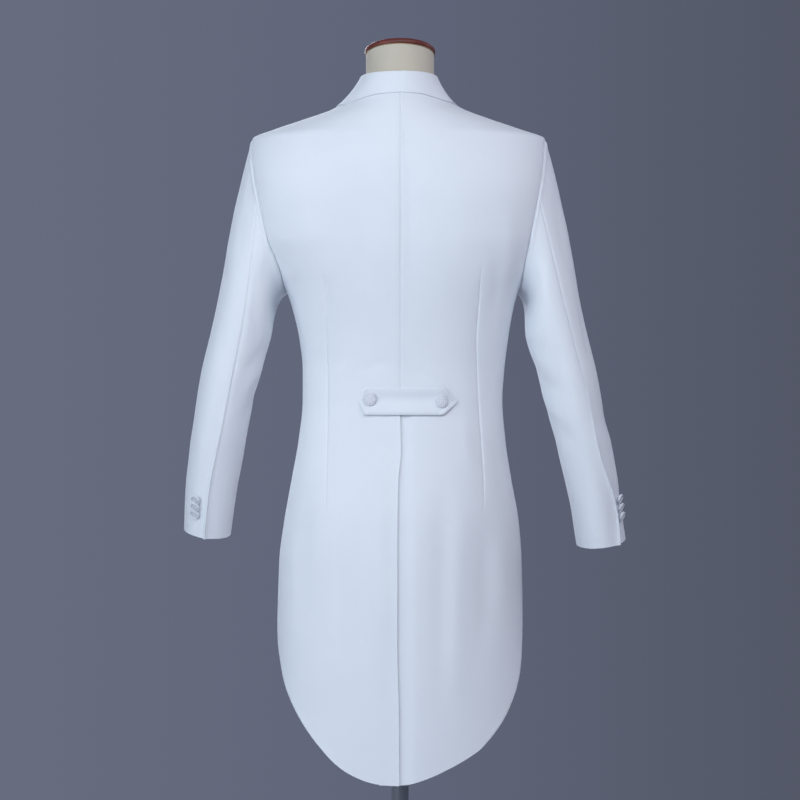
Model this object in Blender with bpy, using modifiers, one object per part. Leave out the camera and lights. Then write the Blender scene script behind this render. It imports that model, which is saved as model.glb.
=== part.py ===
"""Tailcoat on a limbless dress form.

Every cloth piece is a wall laid on one body surface. The surface is made of level sections, each a
rounded oval with its own half-widths, back, front and squareness. Angles run round a section:
0 is the left side, 90 the centre back, 180 the right side and -90 the centre front.
Tables are in millimetres and degrees, everything else is in metres. The front faces -Y.
"""
import math
from collections import namedtuple

import bmesh
import bpy
from mathutils import Matrix, Vector

MM = 0.001
LEFT, RIGHT = 1, -1

# Cloth and seams
CLOTH = 0.0020
SEAM_GAP = 0.0003
LAY_GAP = 0.0006
MITRE_LIMIT = 4.5

# Body surface, from the neckline down to the hem of the tails
Section = namedtuple("Section", "height left right back front middle power right_power")
BODY = [
    Section(1474, 64, 58, 65, -56, 4, 2.0, 2.0),
    Section(1466, 68, 62, 70, -59, 4, 1.9, 1.9),
    Section(1445, 99.5, 94, 83, -67, 2, 1.7, 1.7),
    Section(1430, 141, 134, 91, -74, 1, 1.7, 1.7),
    Section(1415, 186, 178.5, 97, -82, 0, 1.75, 1.75),
    Section(1400, 221, 217, 103, -90, -1, 1.85, 1.85),
    Section(1360, 228, 221, 113, -107, -3, 2.2, 2.2),
    Section(1310, 225, 219, 118, -121, -5, 2.55, 2.55),
    Section(1250, 216, 212, 114, -128, -6, 2.6, 2.6),
    Section(1220, 200, 202, 110, -128, -7, 2.5, 2.5),
    Section(1197, 184, 190, 106, -127, -7, 2.45, 2.45),
    Section(1175, 170.5, 177.5, 102, -125, -8, 2.4, 2.4),
    Section(1145, 160.5, 169, 96, -121, -8, 2.3, 2.3),
    Section(1100, 150, 161.5, 87, -115, -9, 2.25, 2.25),
    Section(1055, 145.5, 156, 81, -110, -9, 2.2, 2.2),
    Section(1010, 145.5, 153, 80, -107, -8, 2.2, 2.2),
    Section(950, 151.5, 157.5, 90, -109, -5, 2.2, 2.1),
    Section(890, 162, 166.5, 106, -112, -2, 2.2, 1.95),
    Section(830, 172.5, 177, 117, -112, 0, 2.2, 1.85),
    Section(770, 180, 181.5, 120, -108, 2, 2.2, 1.8),
    Section(650, 183, 183.5, 116, -100, 3, 2.2, 1.8),
    Section(560, 183.5, 187, 111, -96, 2, 2.2, 1.8),
    Section(440, 184, 184, 105, -90, 0, 2.2, 1.8),
]

# Rows of the fronts and backs down the armhole: the height at the armhole, how far the row still
# rises towards the neck, and the angles of the armhole's back and front edges
ArmRow = namedtuple("ArmRow", "height rise back front")
ARM_ROWS = [
    ArmRow(1400, 1.00, 0, 0),
    ArmRow(1398, 0.97, 5, -5),
    ArmRow(1392, 0.92, 9, -9),
    ArmRow(1380, 0.83, 13, -13),
    ArmRow(1362, 0.69, 16.5, -18),
    ArmRow(1338, 0.52, 20, -23),
    ArmRow(1310, 0.35, 24, -27.5),
    ArmRow(1280, 0.20, 27, -31),
    ArmRow(1250, 0.10, 28.5, -34),
    ArmRow(1222, 0.04, 26, -34.5),
    ArmRow(1199, 0.01, 19, -31),
    ArmRow(1183, 0.00, 7, -22),
    ArmRow(1175, 0.00, -10, -10),
]
EVEN_FROM, EVEN_TO = 1250, 1175

# Rows below the armhole: height at the side, angle of the outer edge, share of the hem's drop
SideRow = namedtuple("SideRow", "height edge right_edge drop")
WAIST_ROWS = [SideRow(height, -10, -10, 0) for height in (1145, 1110, 1075, 1048, 1027, 1014, 1002, 985)]
TAIL_ROWS = [
    SideRow(950, -10, -10, 0),
    SideRow(915, -10, -10, 0),
    SideRow(880, -10, -10, 0),
    SideRow(845, -10, -10, 0),
    SideRow(810, -9.5, -9.5, 0),
    SideRow(775, -8.5, -8.5, 0),
    SideRow(738, -6, -6, 0),
    SideRow(700, -2.5, -2.5, 0),
    SideRow(662, 4, 4, 0.02),
    SideRow(622, 15, 11.3, 0.09),
    SideRow(595, 21.5, 17.6, 0.21),
    SideRow(568, 30, 25.2, 0.38),
    SideRow(541, 39, 32.9, 0.60),
    SideRow(514, 48.5, 42.3, 0.87),
    SideRow(500, 54, 47.8, 1.00),
]
HEM_DROP = 50
HEM_POWER = {LEFT: 2.55, RIGHT: 1.5}

# Neckline and the fold line of the fronts
NECK_BACK, NECK_SIDE = 1470, 1466
NECK_WIDTH = {LEFT: 68, RIGHT: 62}
FRONT_EDGE_TOP, FRONT_EDGE_LOW, FRONT_EDGE_X = 1466, 1060, 44
FRONT_POINT = 30
FRONT_POINT_FROM = 1075

# Fisheye darts of the backs, and the column of cells that follows them
Dart = namedtuple("Dart", "height left right depth")
DARTS = [
    Dart(1400, 136, 124, 0),
    Dart(1310, 123, 124, 0),
    Dart(1212, 113, 119, 0),
    Dart(1165, 110, 117, 1.6),
    Dart(1100, 108, 113.5, 2.4),
    Dart(1020, 107, 116, 2.4),
    Dart(940, 107.5, 121, 2.0),
    Dart(880, 108, 123.5, 1.2),
    Dart(845, 108, 122, 0),
    Dart(700, 107, 110, 0),
    Dart(622, 102, 104, 0),
    Dart(568, 92, 94, 0),
    Dart(541, 84, 85.5, 0),
    Dart(514, 73, 73, 0),
    Dart(500, 65, 65, 0),
]
CELLS_TO_DART, CELLS_FROM_DART = 6, 5
FRONT_CELLS = 8

# Vent: the right back runs under the left one below the half-belt
VENT_TUCK_ROW, VENT_LAP_ROW = 1014, 1002
VENT_LAP = 30
VENT_TUCK = 3.2
VENT_TUCK_FLAT, VENT_TUCK_END = -3, -22

# Sleeves: level rings from below the armhole to the cuff. A ring's angle 0 is outwards and 90 is
# backwards; seam is the elbow seam's angle and ridge how far its pressed edge stands out
Ring = namedtuple("Ring", "height across back half depth seam ridge")
SLEEVE = {
    LEFT: [
        Ring(1100, 240, 4, 45, 63, 96, 0),
        Ring(1055, 252, 3, 44, 61, 99, 0),
        Ring(1010, 262, 0, 42, 59, 100, 1),
        Ring(980, 267.5, -3, 41, 58, 99, 1.5),
        Ring(950, 273, -7, 40.5, 57, 97, 2.5),
        Ring(920, 278, -13, 39.5, 56, 95, 3),
        Ring(890, 283, -19, 38.5, 55, 93, 4),
        Ring(850, 288, -28, 36.5, 54, 92, 5),
        Ring(811, 292, -37, 34.5, 53, 92, 6),
    ],
    RIGHT: [
        Ring(1100, 236, 4, 45.5, 63, 66, 0),
        Ring(1055, 248.5, 3, 44.3, 61, 66, 0),
        Ring(1010, 259.5, 0, 42, 59, 64, 1),
        Ring(980, 266, -3, 40.5, 58, 65, 1.5),
        Ring(950, 275, -7, 40.5, 57, 69, 2),
        Ring(920, 281.5, -13, 40, 56, 67, 2.5),
        Ring(890, 288.3, -19, 39, 55, 60, 3),
        Ring(843, 297, -29, 36.5, 53.5, 51, 3.5),
        Ring(796, 305, -40, 36.5, 52, 56, 4),
    ],
}
CAP_ROWS = 8
CAP_FULLNESS = {LEFT: 0.024, RIGHT: 0.030}
UNDER_FULLNESS = {LEFT: 0.064, RIGHT: 0.074}
ELBOW_COLUMN, FOREARM_COLUMN = 6, 15
CUFF_BACK_DROP, CUFF_OUTER_RISE, CUFF_SLOPE_FROM = 7, 5, 920

# Shawl collar: how far along its seam from the centre back, how far the fold stands above that seam
# and leans in from it, where the fall's edge lies on the left and right of the coat, and how far the
# fall clears the coat. The edge crosses the shoulder seam at the neck point's run
Fold = namedtuple("Fold", "run stand lean left_x left_z right_x right_z clear")
COLLAR = [
    Fold(0, 22, 5, 0, 1460, 0, 1460, 1.2),
    Fold(24, 22.5, 5.5, 31, 1458.5, 29, 1459, 1.2),
    Fold(46, 24, 7, 60, 1452.5, 54, 1454, 1.2),
    Fold(60, 25, 9, 80, 1448, 71, 1451, 1.4),
    Fold(64, 25.2, 9.6, 87.5, 1447.5, 76.5, 1451, 1.6),
    Fold(68, 25, 10, 94, 1448, 82, 1452, 1.8),
    Fold(72, 21.5, 8.6, 101, 1438, 92, 1441, 1.8),
    Fold(77, 18, 7, 109, 1425, 103, 1427, 1.6),
    Fold(88, 12, 4, 119.5, 1407, 116.5, 1408, 1.4),
    Fold(104, 8, 1, 128, 1386, 127, 1386, 1.2),
    Fold(134, 6, -1.7, 136, 1352, 136, 1352, 1.2),
    Fold(172, 5, -1.7, 140, 1312, 140, 1312, 1.2),
    Fold(214, 4, -1.7, 139, 1270, 139, 1270, 1.2),
    Fold(259, 4, -1.7, 132, 1226, 132, 1226, 1.2),
    Fold(309, 3, -1.7, 119, 1180, 119, 1180, 1.2),
    Fold(359, 3, -1.7, 100, 1137, 100, 1137, 1.2),
    Fold(406, 3, -1.7, 76, 1100, 76, 1100, 1.2),
    Fold(446, 3, -1.7, 50, 1080, 50, 1080, 1.2),
]
NECK_RUN = 68
COLLAR_LEAN = {LEFT: 1.0, RIGHT: 0.7}
COLLAR_FOOT = 1.4
COLLAR_TURN = 1.7
COLLAR_SPREAD = 1.3
COLLAR_FLAT_FROM, COLLAR_FLAT_TO = 1466, 1410
LEAF_CELLS = 6

# Half-belt across the back waist, from the left end to the right point
BELT_BOTTOM, BELT_TOP = 987.5, 1028
BELT_LEFT_TIP, BELT_LEFT_CORNER = 59, 51
BELT_RIGHT_CORNER, BELT_RIGHT_TIP = -63, -83
BELT_THICK = 0.0028
BELT_PUFF = 0.0012
BELT_TIP_HALF = 1.5
BELT_CELLS_ALONG, BELT_CELLS_ACROSS = 8, 4

# Cloth-covered buttons
BELT_BUTTON_RADIUS, BELT_BUTTON_HEIGHT = 0.0093, 0.0052
BELT_BUTTONS = {"left": (43, 1010.5), "right": (-60, 1007.5)}
CUFF_BUTTON_RADIUS, CUFF_BUTTON_HEIGHT = 0.0074, 0.0031
CUFF_BUTTON_TILT = math.radians(24)
CUFF_BUTTON_SINK = 0.0002
CUFF_BUTTON_STEP = {LEFT: 0.0112, RIGHT: 0.0135}
CUFF_BUTTON_FIRST = {LEFT: 0.036, RIGHT: 0.042}
CUFF_BUTTON_COLUMN = {LEFT: 4.4, RIGHT: 4.1}
BUTTON_SIDES = 16

# Dress form: how far it lies inside the body surface
Ease = namedtuple("Ease", "height side back front")
EASE = [
    Ease(1466, 13, 12, 6),
    Ease(1455, 9, 7, 6),
    Ease(1445, 8, 5, 6),
    Ease(1430, 8, 4.5, 7),
    Ease(1400, 11, 4.5, 9),
    Ease(1360, 16, 4, 11),
    Ease(1310, 21, 5, 13),
    Ease(1250, 24, 7, 13),
    Ease(1197, 14, 9, 13),
    Ease(1145, 9, 9, 12),
    Ease(1010, 9, 10, 10),
    Ease(890, 10, 10, 10),
    Ease(770, 10, 10, 10),
    Ease(748, 13, 13, 13),
    Ease(735, 22, 22, 22),
]
FORM_HEIGHTS = (735, 740, 748, 770, 810, 850, 890, 930, 970, 1010, 1055, 1100, 1145, 1190, 1235,
                1280, 1320, 1350, 1375, 1392, 1405, 1416, 1427, 1437, 1447, 1457, 1466)
FORM_SIDES = 36
NECK_HALF_WIDTH, NECK_HALF_DEPTH, NECK_MIDDLE = 51, 52, 3
NECK_HEIGHTS = (1478, 1492, 1510)
NECK_TOP = 1526
NECK_TILT = math.radians(10)
TRIM_RADIUS, TRIM_HEIGHT = 0.0522, 0.0016
CAP_RADIUS, CAP_HEIGHT = 0.0530, 0.0120
NECK_SIDES = 36

# Stand
POLE_RADIUS = 0.013
BASE_RADIUS, BASE_HEIGHT = 0.190, 0.014
BOSS_RADIUS, BOSS_HEIGHT = 0.024, 0.048
STAND_SIDES = 48

# Colours
COAT_WHITE = (0.80, 0.83, 0.88)
BUTTON_WHITE = (0.74, 0.77, 0.83)
LINEN = (0.53, 0.51, 0.46)
DARK_WOOD = (0.16, 0.045, 0.03)
GOLD_TRIM = (0.70, 0.45, 0.20)
STAND_METAL = (0.15, 0.16, 0.19)


def along(table, column, place):
    """Read a table's column at a place in its first or height column, on a smooth curve."""
    key = "height" if "height" in table[0]._fields else table[0]._fields[0]
    rows = sorted(table, key=lambda row: getattr(row, key))
    places = [getattr(row, key) for row in rows]
    values = [getattr(row, column) for row in rows]
    steps = [(values[i + 1] - values[i]) / (places[i + 1] - places[i]) for i in range(len(rows) - 1)]
    if place <= places[0]:
        return values[0] + steps[0] * (place - places[0])
    if place >= places[-1]:
        return values[-1] + steps[-1] * (place - places[-1])
    low = max(i for i in range(len(rows) - 1) if places[i] <= place)

    def slope(row):
        if row in (0, len(rows) - 1):
            return steps[min(row, len(steps) - 1)]
        before, after = steps[row - 1], steps[row]
        return 0.0 if before * after <= 0 else 2 * before * after / (before + after)

    span = places[low + 1] - places[low]
    part = (place - places[low]) / span
    return ((1 + 2 * part) * (1 - part) ** 2 * values[low]
            + part * (1 - part) ** 2 * span * slope(low)
            + part ** 2 * (3 - 2 * part) * values[low + 1]
            + part ** 2 * (part - 1) * span * slope(low + 1))


def smooth(value, start, end):
    """0 before start and 1 after end, with a soft step between them."""
    part = min(max((value - start) / (end - start), 0.0), 1.0)
    return part * part * (3 - 2 * part)


def mix(first, second, part):
    return first + (second - first) * part


def oval(angle, height, half_widths, back, front, middle, powers):
    """Point at an angle on a level rounded oval; half_widths and powers give left, then right."""
    across, ahead = math.cos(math.radians(angle)), math.sin(math.radians(angle))
    half, power = (half_widths[0], powers[0]) if across >= 0 else (half_widths[1], powers[1])
    depth = back - middle if ahead >= 0 else middle - front
    x = math.copysign(half * abs(across) ** (2 / power), across)
    y = middle + math.copysign(depth * abs(ahead) ** (2 / power), ahead)
    return Vector((x, y, height)) * MM


def body_point(angle, height):
    """Point of the body surface; the height is in millimetres."""
    values = {name: along(BODY, name, height) for name in Section._fields[1:]}
    return oval(angle, height, (values["left"], values["right"]), values["back"], values["front"],
                values["middle"], (values["power"], values["right_power"]))


def body_normal(angle, height):
    round_step, height_step = 0.6, 1.0
    round_way = body_point(angle + round_step, height) - body_point(angle - round_step, height)
    up_way = body_point(angle, height + height_step) - body_point(angle, height - height_step)
    return round_way.cross(up_way).normalized()


def angle_at(x, height, way):
    """Angle at which the body surface is x millimetres out; way is 1 for the back, -1 the front."""
    half = along(BODY, "left" if x >= 0 else "right", height)
    power = along(BODY, "power" if x >= 0 else "right_power", height)
    across = math.copysign(min(abs(x) / half, 1.0) ** (power / 2), x)
    return way * math.degrees(math.acos(across))


def mirrored(side, angle):
    """The angle itself on the left side, or its mirror image on the right."""
    return angle if side == LEFT else (360 - angle) % 360 - 180


def side_angle(side, x, height, way):
    """Angle at x millimetres out on one side, counted from that side."""
    return mirrored(side, angle_at(side * x, height, way))


def side_width(side, angle, height):
    return abs(body_point(mirrored(side, angle), height).x) / MM


def spot(side, angle, height, lift=0.0):
    """A point of the body surface moved out along its normal, with that normal."""
    normal = body_normal(mirrored(side, angle), height)
    return body_point(mirrored(side, angle), height) + normal * lift, normal


def top_height(x, side):
    """Height of the neckline and the shoulder seam, x millimetres from the middle."""
    if x <= NECK_WIDTH[side]:
        return mix(NECK_BACK, NECK_SIDE, (x / NECK_WIDTH[side]) ** 2)
    column = "left" if side == LEFT else "right"
    low, high = ARM_ROWS[0].height, NECK_SIDE
    for _ in range(30):
        middle = (low + high) / 2
        if along(BODY, column, middle) > x:
            low = middle
        else:
            high = middle
    return (low + high) / 2


def row_angles(side, way, heights, stops, edge, evenness):
    """Angles of a row's cells: one for each stop, in millimetres, then on towards the edge.

    The cells after the last stop are even in width where evenness is 0, and in angle where it is 1.
    """
    angles = [side_angle(side, x, height, way) for x, height in zip(stops, heights)]
    start = angles[-1]
    edge_x = side_width(side, edge, heights[-1])
    cells = len(heights) - len(stops)
    for cell in range(1, cells):
        part = cell / cells
        by_width = side_angle(side, mix(stops[-1], edge_x, part), heights[len(stops) - 1 + cell], way)
        angles.append(mix(by_width, mix(start, edge, part), evenness))
    return angles + [edge]


def mitre(first, second):
    """Offset for one unit of thickness where two walls meet with these normals."""
    joint = (first + second) / max(1 + first.dot(second), 1e-3)
    return joint if joint.length <= MITRE_LIMIT else joint.normalized() * MITRE_LIMIT


def grid_normals(points, closed, side):
    """Normals of a grid of points whose columns run round and whose rows run down."""
    rows, columns = len(points), len(points[0])
    normals = []
    for row in range(rows):
        line = []
        for column in range(columns):
            before = (column - 1) % columns if closed else max(column - 1, 0)
            after = (column + 1) % columns if closed else min(column + 1, columns - 1)
            round_way = points[row][after] - points[row][before]
            up_way = points[max(row - 1, 0)][column] - points[min(row + 1, rows - 1)][column]
            line.append((round_way.cross(up_way) * side).normalized())
        normals.append(line)
    return normals


def trimmed(grid, gap):
    """Draw a grid's edges in by half a seam gap, in the cloth and square to the edge."""
    rows, columns = len(grid), len(grid[0])
    result = [list(line) for line in grid]
    for row in range(rows):
        for column in range(columns):
            point, normal = grid[row][column]
            inner = []
            if column in (0, columns - 1):
                near = grid[row][1 if column == 0 else columns - 2][0]
                edge = grid[min(row + 1, rows - 1)][column][0] - grid[max(row - 1, 0)][column][0]
                inner.append((near - point, edge))
            if row in (0, rows - 1):
                near = grid[1 if row == 0 else rows - 2][column][0]
                edge = grid[row][min(column + 1, columns - 1)][0] - grid[row][max(column - 1, 0)][0]
                inner.append((near - point, edge))
            for way, edge in inner:
                across = edge.cross(normal).normalized()
                point = point + across * math.copysign(gap / 2, across.dot(way))
            result[row][column] = (point, normal)
    return result


def finish(piece, colour, roughness, metallic=0.0):
    """Give a piece its own material and smooth shading."""
    material = bpy.data.materials.new(piece.name)
    material.use_nodes = True
    shader = material.node_tree.nodes["Principled BSDF"]
    shader.inputs["Base Color"].default_value = (*colour, 1.0)
    shader.inputs["Roughness"].default_value = roughness
    shader.inputs["Metallic"].default_value = metallic
    piece.data.materials.clear()
    piece.data.materials.append(material)
    piece.data.shade_smooth()
    piece.data.set_sharp_from_angle(angle=math.radians(40))


def add_piece(name, mesh_data):
    piece = bpy.data.objects.new(name, mesh_data)
    bpy.data.collections["Tailcoat"].objects.link(piece)
    return piece


def closed_mesh(name, mesh):
    """Turn a closed body's faces outwards and hand it over as mesh data."""
    bmesh.ops.recalc_face_normals(mesh, faces=list(mesh.faces))
    if mesh.calc_volume(signed=True) < 0:
        bmesh.ops.reverse_faces(mesh, faces=list(mesh.faces))
    mesh_data = bpy.data.meshes.new(name)
    mesh.to_mesh(mesh_data)
    mesh.free()
    return mesh_data


def wall(name, grid, colour=COAT_WHITE, thickness=CLOTH, gap=SEAM_GAP):
    """Cloth piece: a sheet of cells on the grid's points, extruded to the wall's thickness."""
    grid = trimmed(grid, gap)
    rows, columns = len(grid), len(grid[0])
    mesh = bmesh.new()
    row_tag = mesh.verts.layers.int.new("row")
    column_tag = mesh.verts.layers.int.new("column")
    bmesh.ops.create_grid(mesh, x_segments=columns - 1, y_segments=rows - 1, size=0.5)
    for vertex in mesh.verts:
        vertex[column_tag] = round((vertex.co.x + 0.5) * (columns - 1))
        vertex[row_tag] = round((vertex.co.y + 0.5) * (rows - 1))
    outside = list(mesh.verts)
    extruded = bmesh.ops.extrude_face_region(mesh, geom=list(mesh.faces))["geom"]
    inside = [item for item in extruded if isinstance(item, bmesh.types.BMVert)]
    for vertices, lift in ((outside, thickness / 2), (inside, -thickness / 2)):
        for vertex in vertices:
            point, normal = grid[vertex[row_tag]][vertex[column_tag]]
            vertex.co = point + normal * lift
    piece = add_piece(name, closed_mesh(name, mesh))
    finish(piece, colour, 0.8)
    return piece


def turned(name, profile, sides, place, colour, roughness, metallic=0.0):
    """Turned piece: a profile of (radius, height) points from the top down, with a Screw modifier."""
    mesh_data = bpy.data.meshes.new(name)
    points = [(radius, 0.0, height) for radius, height in profile]
    mesh_data.from_pydata(points, [(i, i + 1) for i in range(len(points) - 1)], [])
    piece = add_piece(name, mesh_data)
    screw = piece.modifiers.new("Turn", "SCREW")
    screw.steps = sides
    screw.render_steps = sides
    screw.use_merge_vertices = True
    screw.merge_threshold = 0.00001
    piece.matrix_world = place
    finish(piece, colour, roughness, metallic)
    return piece


def facing(origin, normal, upward):
    """Placement whose Z axis is the normal and whose Y axis is as near upward as it can be."""
    z_axis = normal.normalized()
    x_axis = upward.cross(z_axis).normalized()
    y_axis = z_axis.cross(x_axis)
    return Matrix.Translation(origin) @ Matrix((x_axis, y_axis, z_axis)).transposed().to_4x4()


# ---------------------------------------------------------------- sleeves

def armhole_rows():
    """The armhole's rows in the order of the sleeve's columns: down the back, up the front."""
    down = [(row.height, row.back) for row in ARM_ROWS]
    up = [(row.height, row.front) for row in reversed(ARM_ROWS[1:-1])]
    return down + up


def sleeve_ring(side, ring, columns):
    """Points of a level sleeve ring, which slopes towards the cuff."""
    slope = smooth(ring.height, CUFF_SLOPE_FROM, SLEEVE[side][-1].height)
    points = []
    for column in range(columns):
        turn = 360 * column / columns
        if turn <= 90:
            angle = turn * ring.seam / 90
        elif turn <= 180:
            angle = mix(ring.seam, 180, (turn - 90) / 90)
        else:
            angle = turn
        outwards, backwards = math.cos(math.radians(angle)), math.sin(math.radians(angle))
        ridge = ring.ridge if column == ELBOW_COLUMN else 0
        x = ring.across + (ring.half + ridge) * outwards
        y = ring.back + (ring.depth + ridge) * backwards
        z = ring.height + slope * (CUFF_OUTER_RISE * outwards - CUFF_BACK_DROP * backwards)
        points.append(Vector((side * x, y, z)) * MM)
    return points


def sleeve_points(side):
    """The whole sleeve as rows of points, from the armhole to the cuff."""
    head = [spot(side, angle, height)[0] for height, angle in armhole_rows()]
    rings = [sleeve_ring(side, ring, len(head)) for ring in SLEEVE[side]]
    rows = []
    for row in range(CAP_ROWS):
        part = row / CAP_ROWS
        line = []
        for column, (start, end) in enumerate(zip(head, rings[0])):
            outwards = math.cos(2 * math.pi * column / len(head))
            fullness = CAP_FULLNESS[side] * max(outwards, 0.0) + UNDER_FULLNESS[side] * max(-outwards, 0.0)
            bulge = Vector((side, 0, 0)) * fullness * part * (1 - part) ** 2
            line.append(start.lerp(end, part) + bulge)
        rows.append(line)
    return rows + rings


def sleeve_grid(side):
    points = sleeve_points(side)
    normals = grid_normals(points, True, side)
    for column, (height, angle) in enumerate(armhole_rows()):
        normals[0][column] = mitre(normals[0][column], spot(side, angle, height)[1])
    return [list(zip(*rows)) for rows in zip(points, normals)]


SLEEVE_GRIDS = {side: sleeve_grid(side) for side in (LEFT, RIGHT)}


def make_sleeve(side, label):
    """Two-piece sleeve: the top half outside and the under half inside, seamed down both edges."""
    grid = SLEEVE_GRIDS[side]
    columns = len(grid[0])
    top = [column % columns for column in range(FOREARM_COLUMN, columns + ELBOW_COLUMN + 1)]
    under = list(range(ELBOW_COLUMN, FOREARM_COLUMN + 1))
    wall("sleeve_top_" + label, [[line[column] for column in top] for line in grid])
    wall("sleeve_under_" + label, [[line[column] for column in under] for line in grid])


def sleeve_spot(side, below_cuff, column):
    """A place on a sleeve, a distance above the cuff's edge, at a whole or part column."""
    grid = SLEEVE_GRIDS[side]
    first = int(column)
    cuff = grid[-1][first][0].lerp(grid[-1][first + 1][0], column - first)
    higher = grid[-2][first][0].lerp(grid[-2][first + 1][0], column - first)
    point = cuff + (higher - cuff).normalized() * below_cuff
    normal = grid[-1][first][1].lerp(grid[-1][first + 1][1], column - first).normalized()
    return point, normal, (higher - cuff).normalized()


# ---------------------------------------------------------------- backs and fronts

def armhole_edge(side, row):
    """The wall's offset at an armhole row, shared with the sleeve."""
    return SLEEVE_GRIDS[side][0][row][1]


def back_row(side, height_side, edge, evenness, rise, drop, vent):
    """One row of a back: angles and heights of its cells, from the centre back to the edge."""
    column = "left" if side == LEFT else "right"
    dart_x = along(DARTS, column, height_side)
    stops = [dart_x * cell / CELLS_TO_DART for cell in range(CELLS_TO_DART + 1)]
    if vent:
        lap = -VENT_LAP if vent == "lap" else 0
        spread = CELLS_TO_DART - 2
        stops = [lap, -VENT_TUCK_FLAT] + [mix(-VENT_TUCK_END, dart_x, cell / spread)
                                          for cell in range(spread + 1)]
    parts = [cell / CELLS_FROM_DART for cell in range(1, CELLS_FROM_DART + 1)]
    edge_x = side_width(side, edge, height_side)
    widths = stops + [mix(dart_x, edge_x, part) for part in parts]
    shoulder = ARM_ROWS[0].height
    shoulder_x = side_width(side, 0, shoulder)
    heights = []
    for width in widths:
        share = max(width, 0) / edge_x
        top = top_height(share * shoulder_x, side)
        hem = HEM_DROP * (1 - share ** HEM_POWER[side])
        heights.append(height_side + rise * (top - shoulder) - drop * hem)
    angles = row_angles(side, 1, heights, stops, edge, evenness)
    return angles, heights


def top_row(side, way):
    """The uppermost row of a back or front: along the neckline and the shoulder seam."""
    shoulder_x = side_width(side, 0, ARM_ROWS[0].height)
    dart_x = DARTS[0].left if side == LEFT else DARTS[0].right
    widths = [dart_x * cell / CELLS_TO_DART for cell in range(CELLS_TO_DART + 1)]
    widths += [mix(dart_x, shoulder_x, cell / CELLS_FROM_DART) for cell in range(1, CELLS_FROM_DART + 1)]
    if way < 0:
        widths = widths[-FRONT_CELLS - 1:]
    heights = [top_height(width, side) for width in widths]
    angles = [0 if width >= NECK_WIDTH[side] else side_angle(side, width, height, way)
              for width, height in zip(widths, heights)]
    return angles, heights


def dart_depth(height):
    return along(DARTS, "depth", height) * MM


def back_grid(side):
    rows = [top_row(side, 1)]
    for row in ARM_ROWS[1:]:
        evenness = smooth(row.height, EVEN_FROM, EVEN_TO)
        rows.append(back_row(side, row.height, row.back, evenness, row.rise, 0, None))
    for row in WAIST_ROWS + TAIL_ROWS:
        vent = None
        if side == RIGHT and row.height <= VENT_TUCK_ROW:
            vent = "lap" if row.height <= VENT_LAP_ROW else "tuck"
        edge = row.edge if side == LEFT else row.right_edge
        rows.append(back_row(side, row.height, edge, 1.0, 0, row.drop, vent))
    grid = []
    for row, (angles, heights) in enumerate(rows):
        line = []
        for column, (angle, height) in enumerate(zip(angles, heights)):
            point, normal = spot(side, angle, height)
            tucked = side == RIGHT and row > len(ARM_ROWS) and heights[-1] <= VENT_TUCK_ROW
            if column == CELLS_TO_DART:
                point = point - normal * dart_depth(height)
            if tucked and column < 2:
                point = point - normal * VENT_TUCK * MM
            if column == len(angles) - 1 and row < len(ARM_ROWS):
                normal = armhole_edge(side, row)
            line.append((point, normal))
        grid.append(line)
    return grid


def front_edge_x(side, height):
    """How far a front's inner edge, the fold line of the collar, is from the middle."""
    part = (FRONT_EDGE_TOP - height) / (FRONT_EDGE_TOP - FRONT_EDGE_LOW)
    return mix(NECK_WIDTH[side], FRONT_EDGE_X, min(max(part, 0.0), 1.0))


def front_row(side, height_side, edge, evenness, rise):
    shoulder = ARM_ROWS[0].height
    shoulder_x = side_width(side, 0, shoulder)
    point_share = smooth(height_side, FRONT_POINT_FROM, WAIST_ROWS[-1].height)
    heights = []
    for cell in range(FRONT_CELLS + 1):
        part = cell / FRONT_CELLS
        top = top_height(mix(NECK_WIDTH[side], shoulder_x, part), side)
        heights.append(height_side + rise * (top - shoulder) - point_share * FRONT_POINT * (1 - part))
    stops = [front_edge_x(side, heights[0])]
    angles = row_angles(side, -1, heights, stops, edge, evenness)
    return angles, heights


def front_grid(side):
    rows = [top_row(side, -1)]
    for row in ARM_ROWS[1:]:
        evenness = smooth(row.height, EVEN_FROM, EVEN_TO)
        rows.append(front_row(side, row.height, row.front, evenness, row.rise))
    rows += [front_row(side, row.height, row.edge, 1.0, 0) for row in WAIST_ROWS]
    grid = []
    columns = len(armhole_rows())
    for row, (angles, heights) in enumerate(rows):
        line = [spot(side, angle, height) for angle, height in zip(angles, heights)]
        if row < len(ARM_ROWS):
            line[-1] = (line[-1][0], armhole_edge(side, -row % columns))
        grid.append(line)
    return grid


# ---------------------------------------------------------------- collar

def collar_seam(side, run):
    """Angle and height of the collar's seam, a distance along it from the centre back."""
    if run < NECK_RUN:
        x = run / NECK_RUN * NECK_WIDTH[side]
        height = top_height(x, side)
        return side_angle(side, x, height, 1), height
    if run == NECK_RUN:
        return 0, NECK_SIDE
    height = NECK_SIDE - (run - NECK_RUN)
    return side_angle(side, front_edge_x(side, height), height, -1), height


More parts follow.
